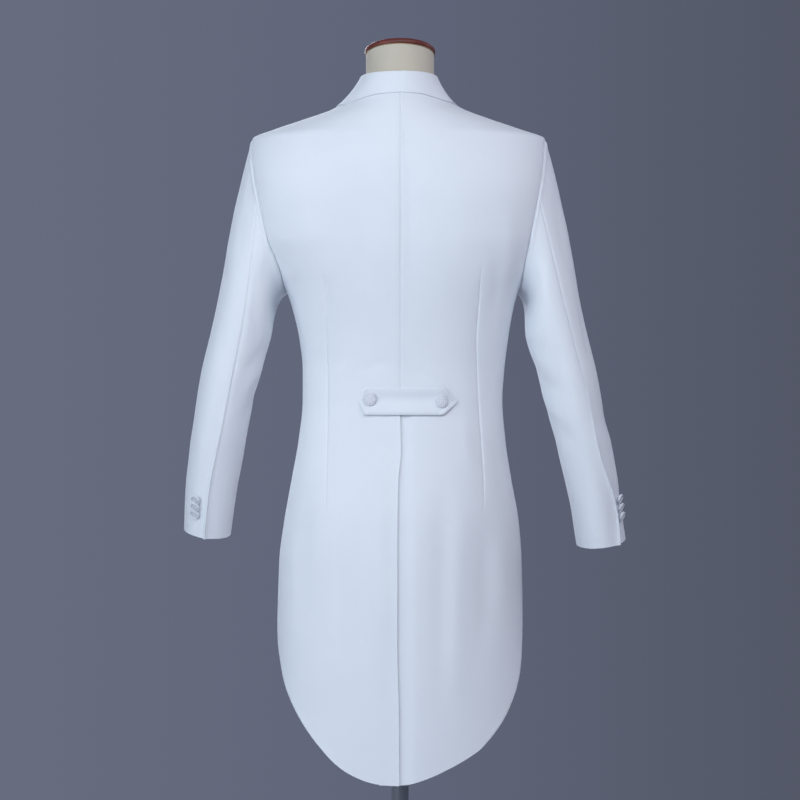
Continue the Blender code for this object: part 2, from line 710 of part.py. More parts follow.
def collar_station(side, run):
    """One section of the collar: up the stand, over the fold and out to the fall's edge."""
    label = "left" if side == LEFT else "right"
    columns = ("stand", "lean", label + "_x", label + "_z", "clear")
    stand, lean, edge_x, edge_z, clear = (along(COLLAR, name, run) for name in columns)
    lean *= COLLAR_LEAN[side]
    seam_angle, seam_z = collar_seam(side, run)
    edge_angle = side_angle(side, edge_x, edge_z, 1 if run < NECK_RUN else -1)
    if run == NECK_RUN:
        edge_angle, edge_z = 0, top_height(edge_x, side)
    seam, normal = spot(side, seam_angle, seam_z)
    flat = smooth(-seam_z, -COLLAR_FLAT_FROM, -COLLAR_FLAT_TO)
    inwards = spot(side, seam_angle - 1, seam_z)[0] - seam
    upward = Vector((0, 0, 1)).lerp(inwards.normalized(), flat).normalized()
    outward = Vector((normal.x, normal.y, 0)).normalized().lerp(normal, flat).normalized()
    crest = seam + upward * stand * MM - outward * lean * MM
    turn = outward * COLLAR_TURN * MM
    start = crest + turn
    foot = seam + upward * COLLAR_FOOT * MM * (1 - flat)
    lift = CLOTH + clear * MM
    first = spot(side, seam_angle, seam_z, lift)[0]
    points = [foot, foot.lerp(crest - turn, 0.5), crest - turn, crest + upward * COLLAR_TURN * MM]
    for cell in range(LEAF_CELLS + 1):
        part = cell / LEAF_CELLS
        laid = spot(side, mix(seam_angle, edge_angle, part), mix(seam_z, edge_z, part), lift)[0]
        points.append(laid + (start - first) * (1 - part) ** COLLAR_SPREAD)
    return points


def make_collar():
    """Shawl collar: stand, fold and fall in one wall, all the way round the neck."""
    runs = [fold.run for fold in COLLAR]
    runs = sorted(runs + [mix(first, second, 0.5) for first, second in zip(runs, runs[1:])])
    points = [collar_station(RIGHT, run) for run in reversed(runs[1:])]
    points += [collar_station(LEFT, run) for run in runs]
    normals = grid_normals(points, False, -1)
    wall("collar", [list(zip(*rows)) for rows in zip(points, normals)])


# ---------------------------------------------------------------- belt and buttons

def belt_spot(x, height, lift):
    return spot(LEFT, angle_at(x, height, 1), height, lift)


def make_belt():
    """Half-belt with a blunt end and a pointed end, its middle a little puffed."""
    middle = (BELT_TOP + BELT_BOTTOM) / 2
    half = (BELT_TOP - BELT_BOTTOM) / 2
    straight = BELT_CELLS_ALONG - 2
    stations = [(BELT_LEFT_TIP, BELT_TIP_HALF)]
    stations += [(mix(BELT_LEFT_CORNER, BELT_RIGHT_CORNER, cell / straight), half)
                 for cell in range(straight + 1)]
    stations += [(BELT_RIGHT_TIP, BELT_TIP_HALF)]
    lift = CLOTH / 2 + LAY_GAP + BELT_THICK / 2
    grid = []
    for cell in range(BELT_CELLS_ACROSS + 1):
        across = 2 * cell / BELT_CELLS_ACROSS - 1
        puff = BELT_PUFF * (1 - across * across)
        grid.append([belt_spot(x, middle + across * reach, lift + puff) for x, reach in stations])
    wall("back_belt", grid, thickness=BELT_THICK, gap=0)


def button_profile(radius, height):
    """Covered button: a domed top, a rolled rim and a flat back."""
    return [(0, height), (0.45 * radius, 0.95 * height), (0.80 * radius, 0.76 * height),
            (radius, 0.45 * height), (0.93 * radius, 0.20 * height), (0.70 * radius, 0), (0, 0)]


def make_belt_buttons():
    for label, (x, height) in BELT_BUTTONS.items():
        lift = CLOTH / 2 + LAY_GAP + BELT_THICK + BELT_PUFF + SEAM_GAP
        point, normal = belt_spot(x, height, lift)
        place = facing(point, normal, Vector((0, 0, 1)))
        turned("belt_button_" + label, button_profile(BELT_BUTTON_RADIUS, BELT_BUTTON_HEIGHT),
               BUTTON_SIDES, place, BUTTON_WHITE, 0.7)


def make_cuff_buttons(side, label):
    """Three buttons up the cuff, each tilted so that it laps over the next."""
    for number in range(3):
        above = CUFF_BUTTON_FIRST[side] + number * CUFF_BUTTON_STEP[side]
        point, normal, upward = sleeve_spot(side, above, CUFF_BUTTON_COLUMN[side])
        lift = CLOTH / 2 - CUFF_BUTTON_SINK + CUFF_BUTTON_RADIUS * math.sin(CUFF_BUTTON_TILT)
        place = facing(point + normal * lift, normal, upward)
        place = place @ Matrix.Rotation(CUFF_BUTTON_TILT, 4, "X")
        turned("cuff_button_%s_%d" % (label, number + 1),
               button_profile(CUFF_BUTTON_RADIUS, CUFF_BUTTON_HEIGHT),
               BUTTON_SIDES, place, BUTTON_WHITE, 0.7)


# ---------------------------------------------------------------- dress form and stand

def form_ring(height):
    """Points of the dress form's section at a height: the body surface less its ease."""
    section = {name: along(BODY, name, height) for name in Section._fields[1:]}
    ease = {name: along(EASE, name, height) for name in Ease._fields[1:]}
    widths = (section["left"] - ease["side"], section["right"] - ease["side"])
    powers = (section["power"], section["right_power"])
    return [oval(360 * i / FORM_SIDES, height, widths, section["back"] - ease["back"],
                 section["front"] + ease["front"], section["middle"], powers)
            for i in range(FORM_SIDES)]


def neck_ring(height, tilt=0.0):
    points = [oval(360 * i / FORM_SIDES, height, (NECK_HALF_WIDTH, NECK_HALF_WIDTH),
                   NECK_MIDDLE + NECK_HALF_DEPTH, NECK_MIDDLE - NECK_HALF_DEPTH, NECK_MIDDLE, (2.0, 2.0))
              for i in range(FORM_SIDES)]
    for point in points:
        point.z += math.tan(tilt) * (point.y - NECK_MIDDLE * MM)
    return points


def make_form():
    """Torso and neck in one covered piece, lofted through its sections."""
    rings = [form_ring(height) for height in FORM_HEIGHTS]
    rings += [neck_ring(height) for height in NECK_HEIGHTS] + [neck_ring(NECK_TOP, NECK_TILT)]
    mesh = bmesh.new()
    loops = []
    for ring in rings:
        vertices = [mesh.verts.new(point) for point in ring]
        loops.append([mesh.edges.new((vertices[i], vertices[(i + 1) % FORM_SIDES]))
                      for i in range(FORM_SIDES)])
    for lower, upper in zip(loops, loops[1:]):
        bmesh.ops.bridge_loops(mesh, edges=lower + upper)
    for ends in (loops[0], loops[-1]):
        bmesh.ops.edgeloop_fill(mesh, edges=ends)
    finish(add_piece("form_torso", closed_mesh("form_torso", mesh)), LINEN, 0.9)


def make_neck_cap():
    """Thin metal trim and a low domed wooden cap on the sloping top of the neck."""
    seat = Matrix.Translation(Vector((0, NECK_MIDDLE, NECK_TOP)) * MM) @ Matrix.Rotation(NECK_TILT, 4, "X")
    trim_place = seat @ Matrix.Translation((0, 0, SEAM_GAP))
    turned("neck_trim", [(0, TRIM_HEIGHT), (TRIM_RADIUS, TRIM_HEIGHT), (TRIM_RADIUS, 0), (0, 0)],
           NECK_SIDES, trim_place, GOLD_TRIM, 0.35, 1.0)
    cap_place = trim_place @ Matrix.Translation((0, 0, TRIM_HEIGHT + SEAM_GAP))
    dome = [(0, CAP_HEIGHT), (0.55 * CAP_RADIUS, 0.96 * CAP_HEIGHT), (0.80 * CAP_RADIUS, 0.85 * CAP_HEIGHT),
            (0.94 * CAP_RADIUS, 0.62 * CAP_HEIGHT), (CAP_RADIUS, 0.30 * CAP_HEIGHT), (CAP_RADIUS, 0), (0, 0)]
    turned("neck_cap", dome, NECK_SIDES, cap_place, DARK_WOOD, 0.35)


def make_stand():
    """Round weighted base with a boss, and the pole that carries the form."""
    edge = 0.004
    base = [(0, BOSS_HEIGHT), (BOSS_RADIUS - edge, BOSS_HEIGHT), (BOSS_RADIUS, BOSS_HEIGHT - edge),
            (BOSS_RADIUS, BASE_HEIGHT + edge), (BOSS_RADIUS + edge, BASE_HEIGHT),
            (BASE_RADIUS - edge, BASE_HEIGHT), (BASE_RADIUS, BASE_HEIGHT - edge), (BASE_RADIUS, 0), (0, 0)]
    turned("stand_base", base, STAND_SIDES, Matrix.Identity(4), STAND_METAL, 0.4, 1.0)
    bottom = BOSS_HEIGHT + SEAM_GAP
    top = FORM_HEIGHTS[0] * MM - SEAM_GAP
    bpy.ops.mesh.primitive_cylinder_add(vertices=STAND_SIDES // 2, radius=POLE_RADIUS, depth=top - bottom,
                                        location=(0, 0, (top + bottom) / 2))
    pole = bpy.context.object
    pole.name = "stand_pole"
    for collection in list(pole.users_collection):
        collection.objects.unlink(pole)
    bpy.data.collections["Tailcoat"].objects.link(pole)
    finish(pole, STAND_METAL, 0.35, 1.0)


def build():
    for item in list(bpy.data.objects):
        bpy.data.objects.remove(item, do_unlink=True)
    bpy.context.scene.collection.children.link(bpy.data.collections.new("Tailcoat"))
    for side, label in ((LEFT, "left"), (RIGHT, "right")):
        wall("back_" + label, back_grid(side))
        wall("front_" + label, front_grid(side))
        make_sleeve(side, label)
        make_cuff_buttons(side, label)
    make_collar()
    make_belt()
    make_belt_buttons()
    make_form()
    make_neck_cap()
    make_stand()


build()
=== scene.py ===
"""White tailcoat with a half-belt and rounded tails, on a limbless dress form and stand.

Sizes are in millimetres and degrees until a mesh is made. +X is the coat's left and -Y its front.
"""

import math
from collections import namedtuple

import bmesh
import bpy
import numpy as np
from mathutils import Matrix, Vector


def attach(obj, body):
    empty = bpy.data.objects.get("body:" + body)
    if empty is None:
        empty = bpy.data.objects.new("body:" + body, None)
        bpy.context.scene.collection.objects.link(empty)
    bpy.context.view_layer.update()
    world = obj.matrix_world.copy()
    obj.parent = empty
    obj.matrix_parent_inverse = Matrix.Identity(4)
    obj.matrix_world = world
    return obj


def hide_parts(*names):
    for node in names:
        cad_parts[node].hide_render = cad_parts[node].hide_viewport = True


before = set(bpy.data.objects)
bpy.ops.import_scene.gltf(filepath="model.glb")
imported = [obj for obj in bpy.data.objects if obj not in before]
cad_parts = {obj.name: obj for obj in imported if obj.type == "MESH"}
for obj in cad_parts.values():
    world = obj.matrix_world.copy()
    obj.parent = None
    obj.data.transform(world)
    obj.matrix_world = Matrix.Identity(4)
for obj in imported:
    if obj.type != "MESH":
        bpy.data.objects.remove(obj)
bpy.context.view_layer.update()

# ------------------------------------------------------------------ backs
# Two pieces of firm white wool, each cut in one from the neckline to the tip of its tail, shaped by
# a fisheye dart at the waist and seamed down the middle. Below the half-belt the seam opens into a
# vent: the left back laps over a strip of the right one.
MM = 0.001
LEFT, RIGHT = 1, -1
SIDES = {LEFT: "left", RIGHT: "right"}
CLOTH, WALL = 2.0, 1.4
SEAM_GAP = 0.3
MITRE_LIMIT = 4.5

NORMAL_TURN, NORMAL_RISE = 0.6, 1.0

Section = namedtuple("Section", "height left right back front middle power right_power")
BODY = [
    Section(1474, 64, 58, 65, -56, 4, 2.0, 2.0),
    Section(1466, 68, 62, 70, -59, 4, 1.9, 1.9),
    Section(1445, 99.5, 94, 83, -67, 2, 1.7, 1.7),
    Section(1430, 141, 134, 91, -74, 1, 1.7, 1.7),
    Section(1415, 186, 178.5, 97, -82, 0, 1.75, 1.75),
    Section(1400, 221, 217, 103, -90, -1, 1.85, 1.85),
    Section(1360, 228, 221, 113, -107, -3, 2.2, 2.2),
    Section(1310, 225, 219, 118, -121, -5, 2.55, 2.55),
    Section(1250, 216, 212, 114, -128, -6, 2.6, 2.6),
    Section(1220, 200, 202, 110, -128, -7, 2.5, 2.5),
    Section(1197, 184, 190, 106, -127, -7, 2.45, 2.45),
    Section(1175, 170.5, 177.5, 102, -125, -8, 2.4, 2.4),
    Section(1145, 160.5, 169, 96, -121, -8, 2.3, 2.3),
    Section(1100, 150, 161.5, 87, -115, -9, 2.25, 2.25),
    Section(1055, 145.5, 156, 81, -110, -9, 2.2, 2.2),
    Section(1010, 145.5, 153, 80, -107, -8, 2.2, 2.2),
    Section(950, 151.5, 157.5, 90, -109, -5, 2.2, 2.1),
    Section(890, 162, 166.5, 106, -112, -2, 2.2, 1.95),
    Section(830, 172.5, 177, 117, -112, 0, 2.2, 1.85),
    Section(770, 180, 181.5, 120, -108, 2, 2.2, 1.8),
    Section(650, 183, 183.5, 116, -100, 3, 2.2, 1.8),
    Section(560, 183.5, 187, 111, -96, 2, 2.2, 1.8),
    Section(440, 184, 184, 105, -90, 0, 2.2, 1.8),
]

# Rows of a panel's cells down the armhole, then down the side and the tail
ArmRow = namedtuple("ArmRow", "height rise back front")
ARM_ROWS = [
    ArmRow(1400, 1.00, 0, 0),
    ArmRow(1398, 0.97, 5, -5),
    ArmRow(1392, 0.92, 9, -9),
    ArmRow(1380, 0.83, 13, -13),
    ArmRow(1362, 0.69, 16.5, -18),
    ArmRow(1338, 0.52, 20, -23),
    ArmRow(1310, 0.35, 24, -27.5),
    ArmRow(1280, 0.20, 27, -31),
    ArmRow(1250, 0.10, 28.5, -34),
    ArmRow(1222, 0.04, 26, -34.5),
    ArmRow(1199, 0.01, 19, -31),
    ArmRow(1183, 0.00, 7, -22),
    ArmRow(1175, 0.00, -10, -10),
]
EVEN_FROM, EVEN_TO = 1250, 1175
SideRow = namedtuple("SideRow", "height edge right_edge drop")
WAIST_ROWS = [SideRow(height, -10, -10, 0) for height in (1145, 1110, 1075, 1048, 1027, 1014, 1002, 985)]
TAIL_ROWS = [
    SideRow(950, -10, -10, 0),
    SideRow(915, -10, -10, 0),
    SideRow(880, -10, -10, 0),
    SideRow(845, -10, -10, 0),
    SideRow(810, -9.5, -9.5, 0),
    SideRow(775, -8.5, -8.5, 0),
    SideRow(738, -6, -6, 0),
    SideRow(700, -2.5, -2.5, 0),
    SideRow(662, 4, 4, 0.02),
    SideRow(622, 15, 11.3, 0.09),
    SideRow(595, 21.5, 17.6, 0.21),
    SideRow(568, 30, 25.2, 0.38),
    SideRow(541, 39, 32.9, 0.60),
    SideRow(514, 48.5, 42.3, 0.87),
    SideRow(500, 54, 47.8, 1.00),
]
HEM_DROP = 50
HEM_POWER = {LEFT: 2.55, RIGHT: 1.5}
NECK_BACK, NECK_SIDE = 1470, 1466
NECK_WIDTH = {LEFT: 68, RIGHT: 62}
SHOULDER_READS = 400

Dart = namedtuple("Dart", "height left right depth")
DARTS = [
    Dart(1400, 136, 124, 0),
    Dart(1310, 123, 124, 0),
    Dart(1212, 113, 119, 0),
    Dart(1165, 110, 117, 1.0),
    Dart(1100, 108, 113.5, 1.5),
    Dart(1020, 107, 116, 1.5),
    Dart(940, 107.5, 121, 1.3),
    Dart(880, 108, 123.5, 0.7),
    Dart(845, 108, 122, 0),
    Dart(700, 107, 110, 0),
    Dart(622, 102, 104, 0),
    Dart(568, 92, 94, 0),
    Dart(541, 84, 85.5, 0),
    Dart(514, 73, 73, 0),
    Dart(500, 65, 65, 0),
]
CELLS_TO_DART, CELLS_FROM_DART = 6, 5
DART_GROOVE, DART_LINE = 1.3, 1.1
DART_STEP, DART_STEP_WIDTH = 0.5, 6.0
DART_HOLLOW, DART_HOLLOW_WIDTH = 0.9, 13.0

VENT_TUCK_ROW, VENT_LAP_ROW = 1014, 1002
UNDER_BELT, VENT_OPEN = 1012, 1000
VENT_LAP = 30
VENT_TUCK = 2.1
VENT_TUCK_FLAT, VENT_TUCK_END = 6, 24
VENT_FLARE, VENT_FLARE_WIDTH = 1.2, 6
VENT_SWAY_WIDTH = 26
Sway = namedtuple("Sway", "height shift")
VENT_SWAY = [Sway(1000, 0), Sway(935, -1.5), Sway(890, 2.2), Sway(800, 3.7), Sway(650, 3.7),
             Sway(560, 1.5), Sway(440, 0.8)]

SEAM_DIP, SEAM_DIP_WIDTH = 0.62, 1.5
SEAM_EDGE, SEAM_EDGE_AT, SEAM_EDGE_WIDTH = 0.20, 8.0, 2.5
SHOULDER_SEAM_START = 6
BACK_RIDGE, BACK_RIDGE_AT, BACK_RIDGE_WIDTH = 1.2, 2.8, 1.3

# Soft creases: a bowed line from one place to another, as distance from the centre back and height;
# a negative depth is a ridge
Crease = namedtuple("Crease", "x1 z1 x2 z2 bow depth width")
BACK_CREASES = {
    LEFT: [
        Crease(52, 1345, 74, 1150, 9, 1.4, 19),
        Crease(150, 1345, 122, 1215, -6, -1.3, 15),
        Crease(112, 1196, 107, 1128, 3, 1.1, 5.5),
        Crease(152, 1206, 136, 1120, -7, 1.7, 9),
        Crease(128, 1168, 144, 1078, 5, -0.8, 8),
        Crease(16, 1068, 62, 1046, -3, 0.9, 7),
        Crease(70, 1075, 98, 1040, 4, -0.8, 9),
        Crease(66, 980, 92, 942, -4, 1.0, 9),
        Crease(108, 858, 117, 848, 0, 0.8, 3.5),
        Crease(30, 960, 34, 560, 6, -1.7, 17),
        Crease(66, 900, 62, 545, -5, 1.7, 15),
        Crease(98, 812, 88, 580, 4, -1.4, 14),
        Crease(132, 880, 138, 655, -7, 2.0, 15),
        Crease(160, 800, 152, 690, 3, -1.1, 10),
    ],
    RIGHT: [
        Crease(14, 1380, 22, 1165, 5, 1.5, 15),
        Crease(88, 1340, 74, 1190, -7, -1.0, 20),
        Crease(158, 1300, 143, 1110, -8, -1.6, 13),
        Crease(141, 1225, 133, 1120, -4, 1.3, 9),
        Crease(20, 1058, 58, 1040, 3, 0.8, 6),
        Crease(128, 1066, 146, 1015, 4, 0.9, 8),
        Crease(92, 985, 108, 905, 4, -1.1, 10),
        Crease(136, 950, 148, 862, -4, 1.1, 9),
        Crease(58, 930, 55, 530, -6, 1.8, 17),
        Crease(90, 870, 84, 560, 6, -1.9, 15),
        Crease(122, 850, 118, 610, -4, 1.8, 14),
        Crease(150, 820, 158, 668, 5, -1.3, 12),
    ],
}
CREASE_START, CREASE_FULL, CREASE_FADING, CREASE_END = -0.05, 0.30, 0.62, 1.05
ROWS_EACH, COLUMNS_EACH = 7, 7
FINE_STEPS, FINE_CLEAR = (0.03, 0.07, 0.13), 1.3


def curve(places, values, at):
    """Values read at any places on a smooth curve that never overshoots them."""
    places, values, at = (np.asarray(item, float) for item in (places, values, at))
    steps = np.diff(values, axis=0) / np.diff(places).reshape(-1, *[1] * (values.ndim - 1))
    before, after = steps[:-1], steps[1:]
    total = np.where(np.abs(before + after) < 1e-12, 1.0, before + after)
    inner = np.where(before * after > 0, 2 * before * after / total, 0.0)
    slope = np.concatenate([steps[:1], inner, steps[-1:]])
    low = np.clip(np.searchsorted(places, at, side="right") - 1, 0, len(places) - 2)
    span = places[low + 1] - places[low]
    part = (at - places[low]) / span
    inside = np.clip(part, 0, 1)
    shape = inside.shape + (1,) * (values.ndim - 1)
    part, inside, span = part.reshape(shape), inside.reshape(shape), span.reshape(shape)
    beyond = (part - inside) * span * np.where(part > 1, slope[low + 1], slope[low])
    return ((1 + 2 * inside) * (1 - inside) ** 2 * values[low]
            + inside * (1 - inside) ** 2 * span * slope[low]
            + inside ** 2 * (3 - 2 * inside) * values[low + 1]
            + inside ** 2 * (inside - 1) * span * slope[low + 1] + beyond)


def along(table, name, place):
    """A table's column read at any place in its first column."""
    rows = sorted(table, key=lambda row: row[0])
    place = np.asarray(place, float)
    read = curve([row[0] for row in rows], [getattr(row, name) for row in rows], place.ravel())
    return read.reshape(place.shape)


def smooth(value, start, end):
    """0 before start and 1 after end, with a soft step between them."""
    part = np.clip((value - start) / (end - start), 0, 1)
    return part * part * (3 - 2 * part)


def mix(first, second, part):
    return first + (second - first) * part


def unit(vectors):
    return vectors / np.maximum(np.linalg.norm(vectors, axis=-1, keepdims=True), 1e-12)


def oval(angle, height, left, right, back, front, middle, left_power, right_power):
    """Points at the given angles on level rounded ovals."""
    across, ahead = np.cos(np.radians(angle)), np.sin(np.radians(angle))
    half = np.where(across >= 0, left, right)
    power = np.where(across >= 0, left_power, right_power)
    depth = np.where(ahead >= 0, back - middle, middle - front)
    x = half * np.sign(across) * np.abs(across) ** (2 / power)
    y = middle + depth * np.sign(ahead) * np.abs(ahead) ** (2 / power)
    return np.stack([x, y, height], axis=-1)


def body_point(angle, height):
    """Points of the coat's surface: 0 is the left side, 90 the centre back, -90 the centre front."""
    angle, height = np.broadcast_arrays(np.asarray(angle, float), np.asarray(height, float))
    return oval(angle, height, *(along(BODY, name, height) for name in Section._fields[1:]))


def body_normal(angle, height):
    round_way = body_point(angle + NORMAL_TURN, height) - body_point(angle - NORMAL_TURN, height)
    up_way = body_point(angle, height + NORMAL_RISE) - body_point(angle, height - NORMAL_RISE)
    return unit(np.cross(round_way, up_way))


def mirrored(side, angle):
    """The angle itself on the left side, or its mirror image on the right."""
    return angle if side == LEFT else np.mod(360 - angle, 360) - 180


def side_angle(side, x, height, way):
    """Angle at x millimetres out on one side, counted from that side; way is 1 for the back."""
    half = along(BODY, "left" if side * x >= 0 else "right", height)
    power = along(BODY, "power" if side * x >= 0 else "right_power", height)
    across = math.copysign(min(abs(x) / half, 1.0) ** (power / 2), side * x)
    return mirrored(side, way * math.degrees(math.acos(across)))


def side_width(side, angle, height):
    return abs(body_point(mirrored(side, angle), height)[0])


def top_height(x, side):
    """Height of the neckline and the shoulder seam, x millimetres from the middle."""
    if x <= NECK_WIDTH[side]:
        return mix(NECK_BACK, NECK_SIDE, (x / NECK_WIDTH[side]) ** 2)
    heights = np.linspace(ARM_ROWS[0].height, NECK_SIDE, SHOULDER_READS)
    widths = along(BODY, SIDES[side], heights)
    return float(np.interp(-x, -widths, heights))


def row_angles(side, way, heights, stops, edge, evenness):
    angles = [side_angle(side, x, height, way) for x, height in zip(stops, heights)]
    start = angles[-1]
    edge_x = side_width(side, edge, heights[-1])
    cells = len(heights) - len(stops)
    for cell in range(1, cells):
        part = cell / cells
        by_width = side_angle(side, mix(stops[-1], edge_x, part), heights[len(stops) - 1 + cell], way)
        angles.append(mix(by_width, mix(start, edge, part), evenness))
    return angles + [edge]


def back_row(side, height_side, edge, evenness, rise, drop, vent):
    """One row of a back: angles and heights of its cells, from the centre back to the edge."""
    dart_x = float(along(DARTS, SIDES[side], height_side))
    stops = [dart_x * cell / CELLS_TO_DART for cell in range(CELLS_TO_DART + 1)]
    if vent:
        lap = -VENT_LAP if vent == "lap" else 0
        spread = CELLS_TO_DART - 2
        stops = [lap, VENT_TUCK_FLAT] + [mix(VENT_TUCK_END, dart_x, cell / spread)
                                         for cell in range(spread + 1)]
    edge_x = side_width(side, edge, height_side)
    widths = stops + [mix(dart_x, edge_x, cell / CELLS_FROM_DART)
                      for cell in range(1, CELLS_FROM_DART + 1)]
    shoulder = ARM_ROWS[0].height
    shoulder_x = side_width(side, 0, shoulder)
    heights = []
    for width in widths:
        share = max(width, 0) / edge_x
        hem = HEM_DROP * (1 - min(share, 1) ** HEM_POWER[side])
        rising = rise * (top_height(share * shoulder_x, side) - shoulder)
        heights.append(height_side + rising - drop * hem)
    return row_angles(side, 1, heights, stops, edge, evenness), heights


def top_row(side, way, front_cells=0):
    """The uppermost row of a panel: along the neckline and the shoulder seam."""
    shoulder_x = side_width(side, 0, ARM_ROWS[0].height)
    dart_x = getattr(DARTS[0], SIDES[side])
    widths = [dart_x * cell / CELLS_TO_DART for cell in range(CELLS_TO_DART + 1)]
    widths += [mix(dart_x, shoulder_x, cell / CELLS_FROM_DART) for cell in range(1, CELLS_FROM_DART + 1)]
    if way < 0:
        widths = widths[-front_cells - 1:]
    heights = [top_height(width, side) for width in widths]
    angles = [0 if width >= NECK_WIDTH[side] else side_angle(side, width, height, way)
              for width, height in zip(widths, heights)]
    return angles, heights


def back_rows(side):
    rows = [top_row(side, 1)]
    for row in ARM_ROWS[1:]:
        evenness = smooth(row.height, EVEN_FROM, EVEN_TO)
        rows.append(back_row(side, row.height, row.back, evenness, row.rise, 0, None))
    for row in WAIST_ROWS + TAIL_ROWS:
        vent = None
        if side == RIGHT and row.height <= VENT_TUCK_ROW:
            vent = "lap" if row.height <= VENT_LAP_ROW else "tuck"
        edge = row.edge if side == LEFT else row.right_edge
        rows.append(back_row(side, row.height, edge, 1.0, 0, row.drop, vent))
    return rows


def places(count, each, fine_at=()):
    """Where the fine grid's lines run between the rows or columns, closer together at some."""
    line = list(np.linspace(0, count - 1, (count - 1) * each + 1))
    for centre in fine_at:
        line = [place for place in line if not 0 < abs(place - centre) < FINE_STEPS[-1] * FINE_CLEAR]
        line += [centre + way * step for step in FINE_STEPS for way in (-1, 1)]
    return np.unique(np.round([place for place in line if 0 <= place <= count - 1], 6))


def fine(rows, at_rows, at_columns):
    """Angles and heights of a panel's rows, read on its fine grid."""
    read = []
    for part in (0, 1):
        coarse = np.array([row[part] for row in rows], float)
        down = curve(np.arange(len(coarse)), coarse, at_rows)
        read.append(curve(np.arange(coarse.shape[1]), down.T, at_columns).T)
    return read


def lengths(points, axis):
    """Distance along the cloth from the grid's first line."""
    steps = np.linalg.norm(np.diff(points, axis=axis), axis=2)
    start = np.zeros_like(np.take(steps, [0], axis=axis))
    return np.concatenate([start, np.cumsum(steps, axis=axis)], axis=axis)


def creased(across, height, creases):
    """How far soft creases lift the cloth, in millimetres."""
    lift = np.zeros_like(across)
    for crease in creases:
        way = np.array([crease.x2 - crease.x1, crease.z2 - crease.z1])
        length = np.hypot(*way)
        way = way / length
        run = ((across - crease.x1) * way[0] + (height - crease.z1) * way[1]) / length
        off = (across - crease.x1) * way[1] - (height - crease.z1) * way[0]
        off = off - crease.bow * 4 * run * (1 - run)
        ends = smooth(run, CREASE_START, CREASE_FULL) * (1 - smooth(run, CREASE_FADING, CREASE_END))
        lift -= crease.depth * ends * np.exp(-(off / crease.width) ** 2)
    return lift


def seamed(distance):
    """How a pressed-open seam shows: a fine dip, and the faint edge of the allowance under it."""
    edge = SEAM_EDGE * np.exp(-((distance - SEAM_EDGE_AT) / SEAM_EDGE_WIDTH) ** 2)
    return edge - SEAM_DIP * np.exp(-(distance / SEAM_DIP_WIDTH) ** 2)


def pulled_in(points, gap=SEAM_GAP):
    """The grid with its outer lines drawn in by half a seam gap."""
    points = points.copy()
    for line, near in ((np.s_[0], np.s_[1]), (np.s_[-1], np.s_[-2])):
        points[line] += unit(points[near] - points[line]) * gap / 2
        points[:, line] += unit(points[:, near] - points[:, line]) * gap / 2
    return points


def shown(name, data):
    """A mesh, a lamp or the camera, put in the scene as an object."""
    item = bpy.data.objects.new(name, data)
    bpy.context.scene.collection.objects.link(item)
    return item


def placed(name, mesh, material, node=None, sharp=50):
    """Hand a finished mesh over as a smooth-shaded piece, in place of a CAD node where it has one."""
    data = bpy.data.meshes.new(name)
    mesh.to_mesh(data)
    mesh.free()
    data.shade_smooth()
    data.set_sharp_from_angle(angle=math.radians(sharp))
    data.materials.append(material)
    piece = shown(name, data)
    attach(piece, "root")
    if node:
        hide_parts(node)
    return piece


def coat_piece(name, node, points, normals, flat, thickness=WALL):
    """A sheet of cells on the fine grid, extruded to the cloth's thickness, with its cut as UV map."""
    rows, columns = points.shape[:2]
    mesh = bmesh.new()
    bmesh.ops.create_grid(mesh, x_segments=columns - 1, y_segments=rows - 1, size=0.5)
    row_tag = mesh.verts.layers.int.new("row")
    column_tag = mesh.verts.layers.int.new("column")
    for vertex in mesh.verts:
        vertex[column_tag] = round((vertex.co.x + 0.5) * (columns - 1))
        vertex[row_tag] = round((vertex.co.y + 0.5) * (rows - 1))
    outside = list(mesh.verts)
    extruded = bmesh.ops.extrude_face_region(mesh, geom=list(mesh.faces))["geom"]
    inside = [item for item in extruded if isinstance(item, bmesh.types.BMVert)]
    for vertices, lift in ((outside, thickness / 2), (inside, -thickness / 2)):
        layer = (points + normals * lift) * MM
        for vertex in vertices:
            vertex.co = layer[vertex[row_tag], vertex[column_tag]]
    uv = mesh.loops.layers.uv.new("cut")
    for face in mesh.faces:
        for loop in face.loops:
            loop[uv].uv = flat[loop.vert[row_tag], loop.vert[column_tag]] * MM
    bmesh.ops.recalc_face_normals(mesh, faces=list(mesh.faces))
    if mesh.calc_volume(signed=True) < 0:
        bmesh.ops.reverse_faces(mesh, faces=list(mesh.faces))
    piece = placed(name, mesh, WHITE_WOOL, node)


def shader_group(name, inputs, outputs):
    """An empty node group with named sockets, and its input and output nodes."""
    group = bpy.data.node_groups.new(name, "ShaderNodeTree")
    for socket, kind, value in inputs:
        made = group.interface.new_socket(socket, in_out="INPUT", socket_type=kind)
        if value is not None:
            made.default_value = value
    for socket, kind in outputs:
        group.interface.new_socket(socket, in_out="OUTPUT", socket_type=kind)
    return group, group.nodes.new("NodeGroupInput"), group.nodes.new("NodeGroupOutput")


def feed(tree, node, inputs):
    """Each input of a shader node is fed by another node's output or set to a value."""
    for socket, value in inputs.items():
        if isinstance(value, bpy.types.NodeSocket):
            tree.links.new(value, node.inputs[socket])
        else:
            node.inputs[socket].default_value = value


def add_node(tree, kind, inputs):
    node = tree.nodes.new("ShaderNode" + kind)
    feed(tree, node, inputs)
    return node


def maths(group, operation, *values):
    node = group.nodes.new("ShaderNodeMath")
    node.operation = operation
    feed(group, node, dict(enumerate(values)))
    return node.outputs[0]


WEFT_SHARE, THREAD_RELIEF = 0.6, 0.3
SLUB_SCALE, SLUB_DETAIL = 140, 4
CLOUD_SCALE, CLOUD_DETAIL = 9, 3
# How strongly the colour mask paints shade into the weave's low places, and how far the mask is lowered
PAINTED_HOLLOW_SHADE, SHADE_LOWERED = 0.45, 0.22


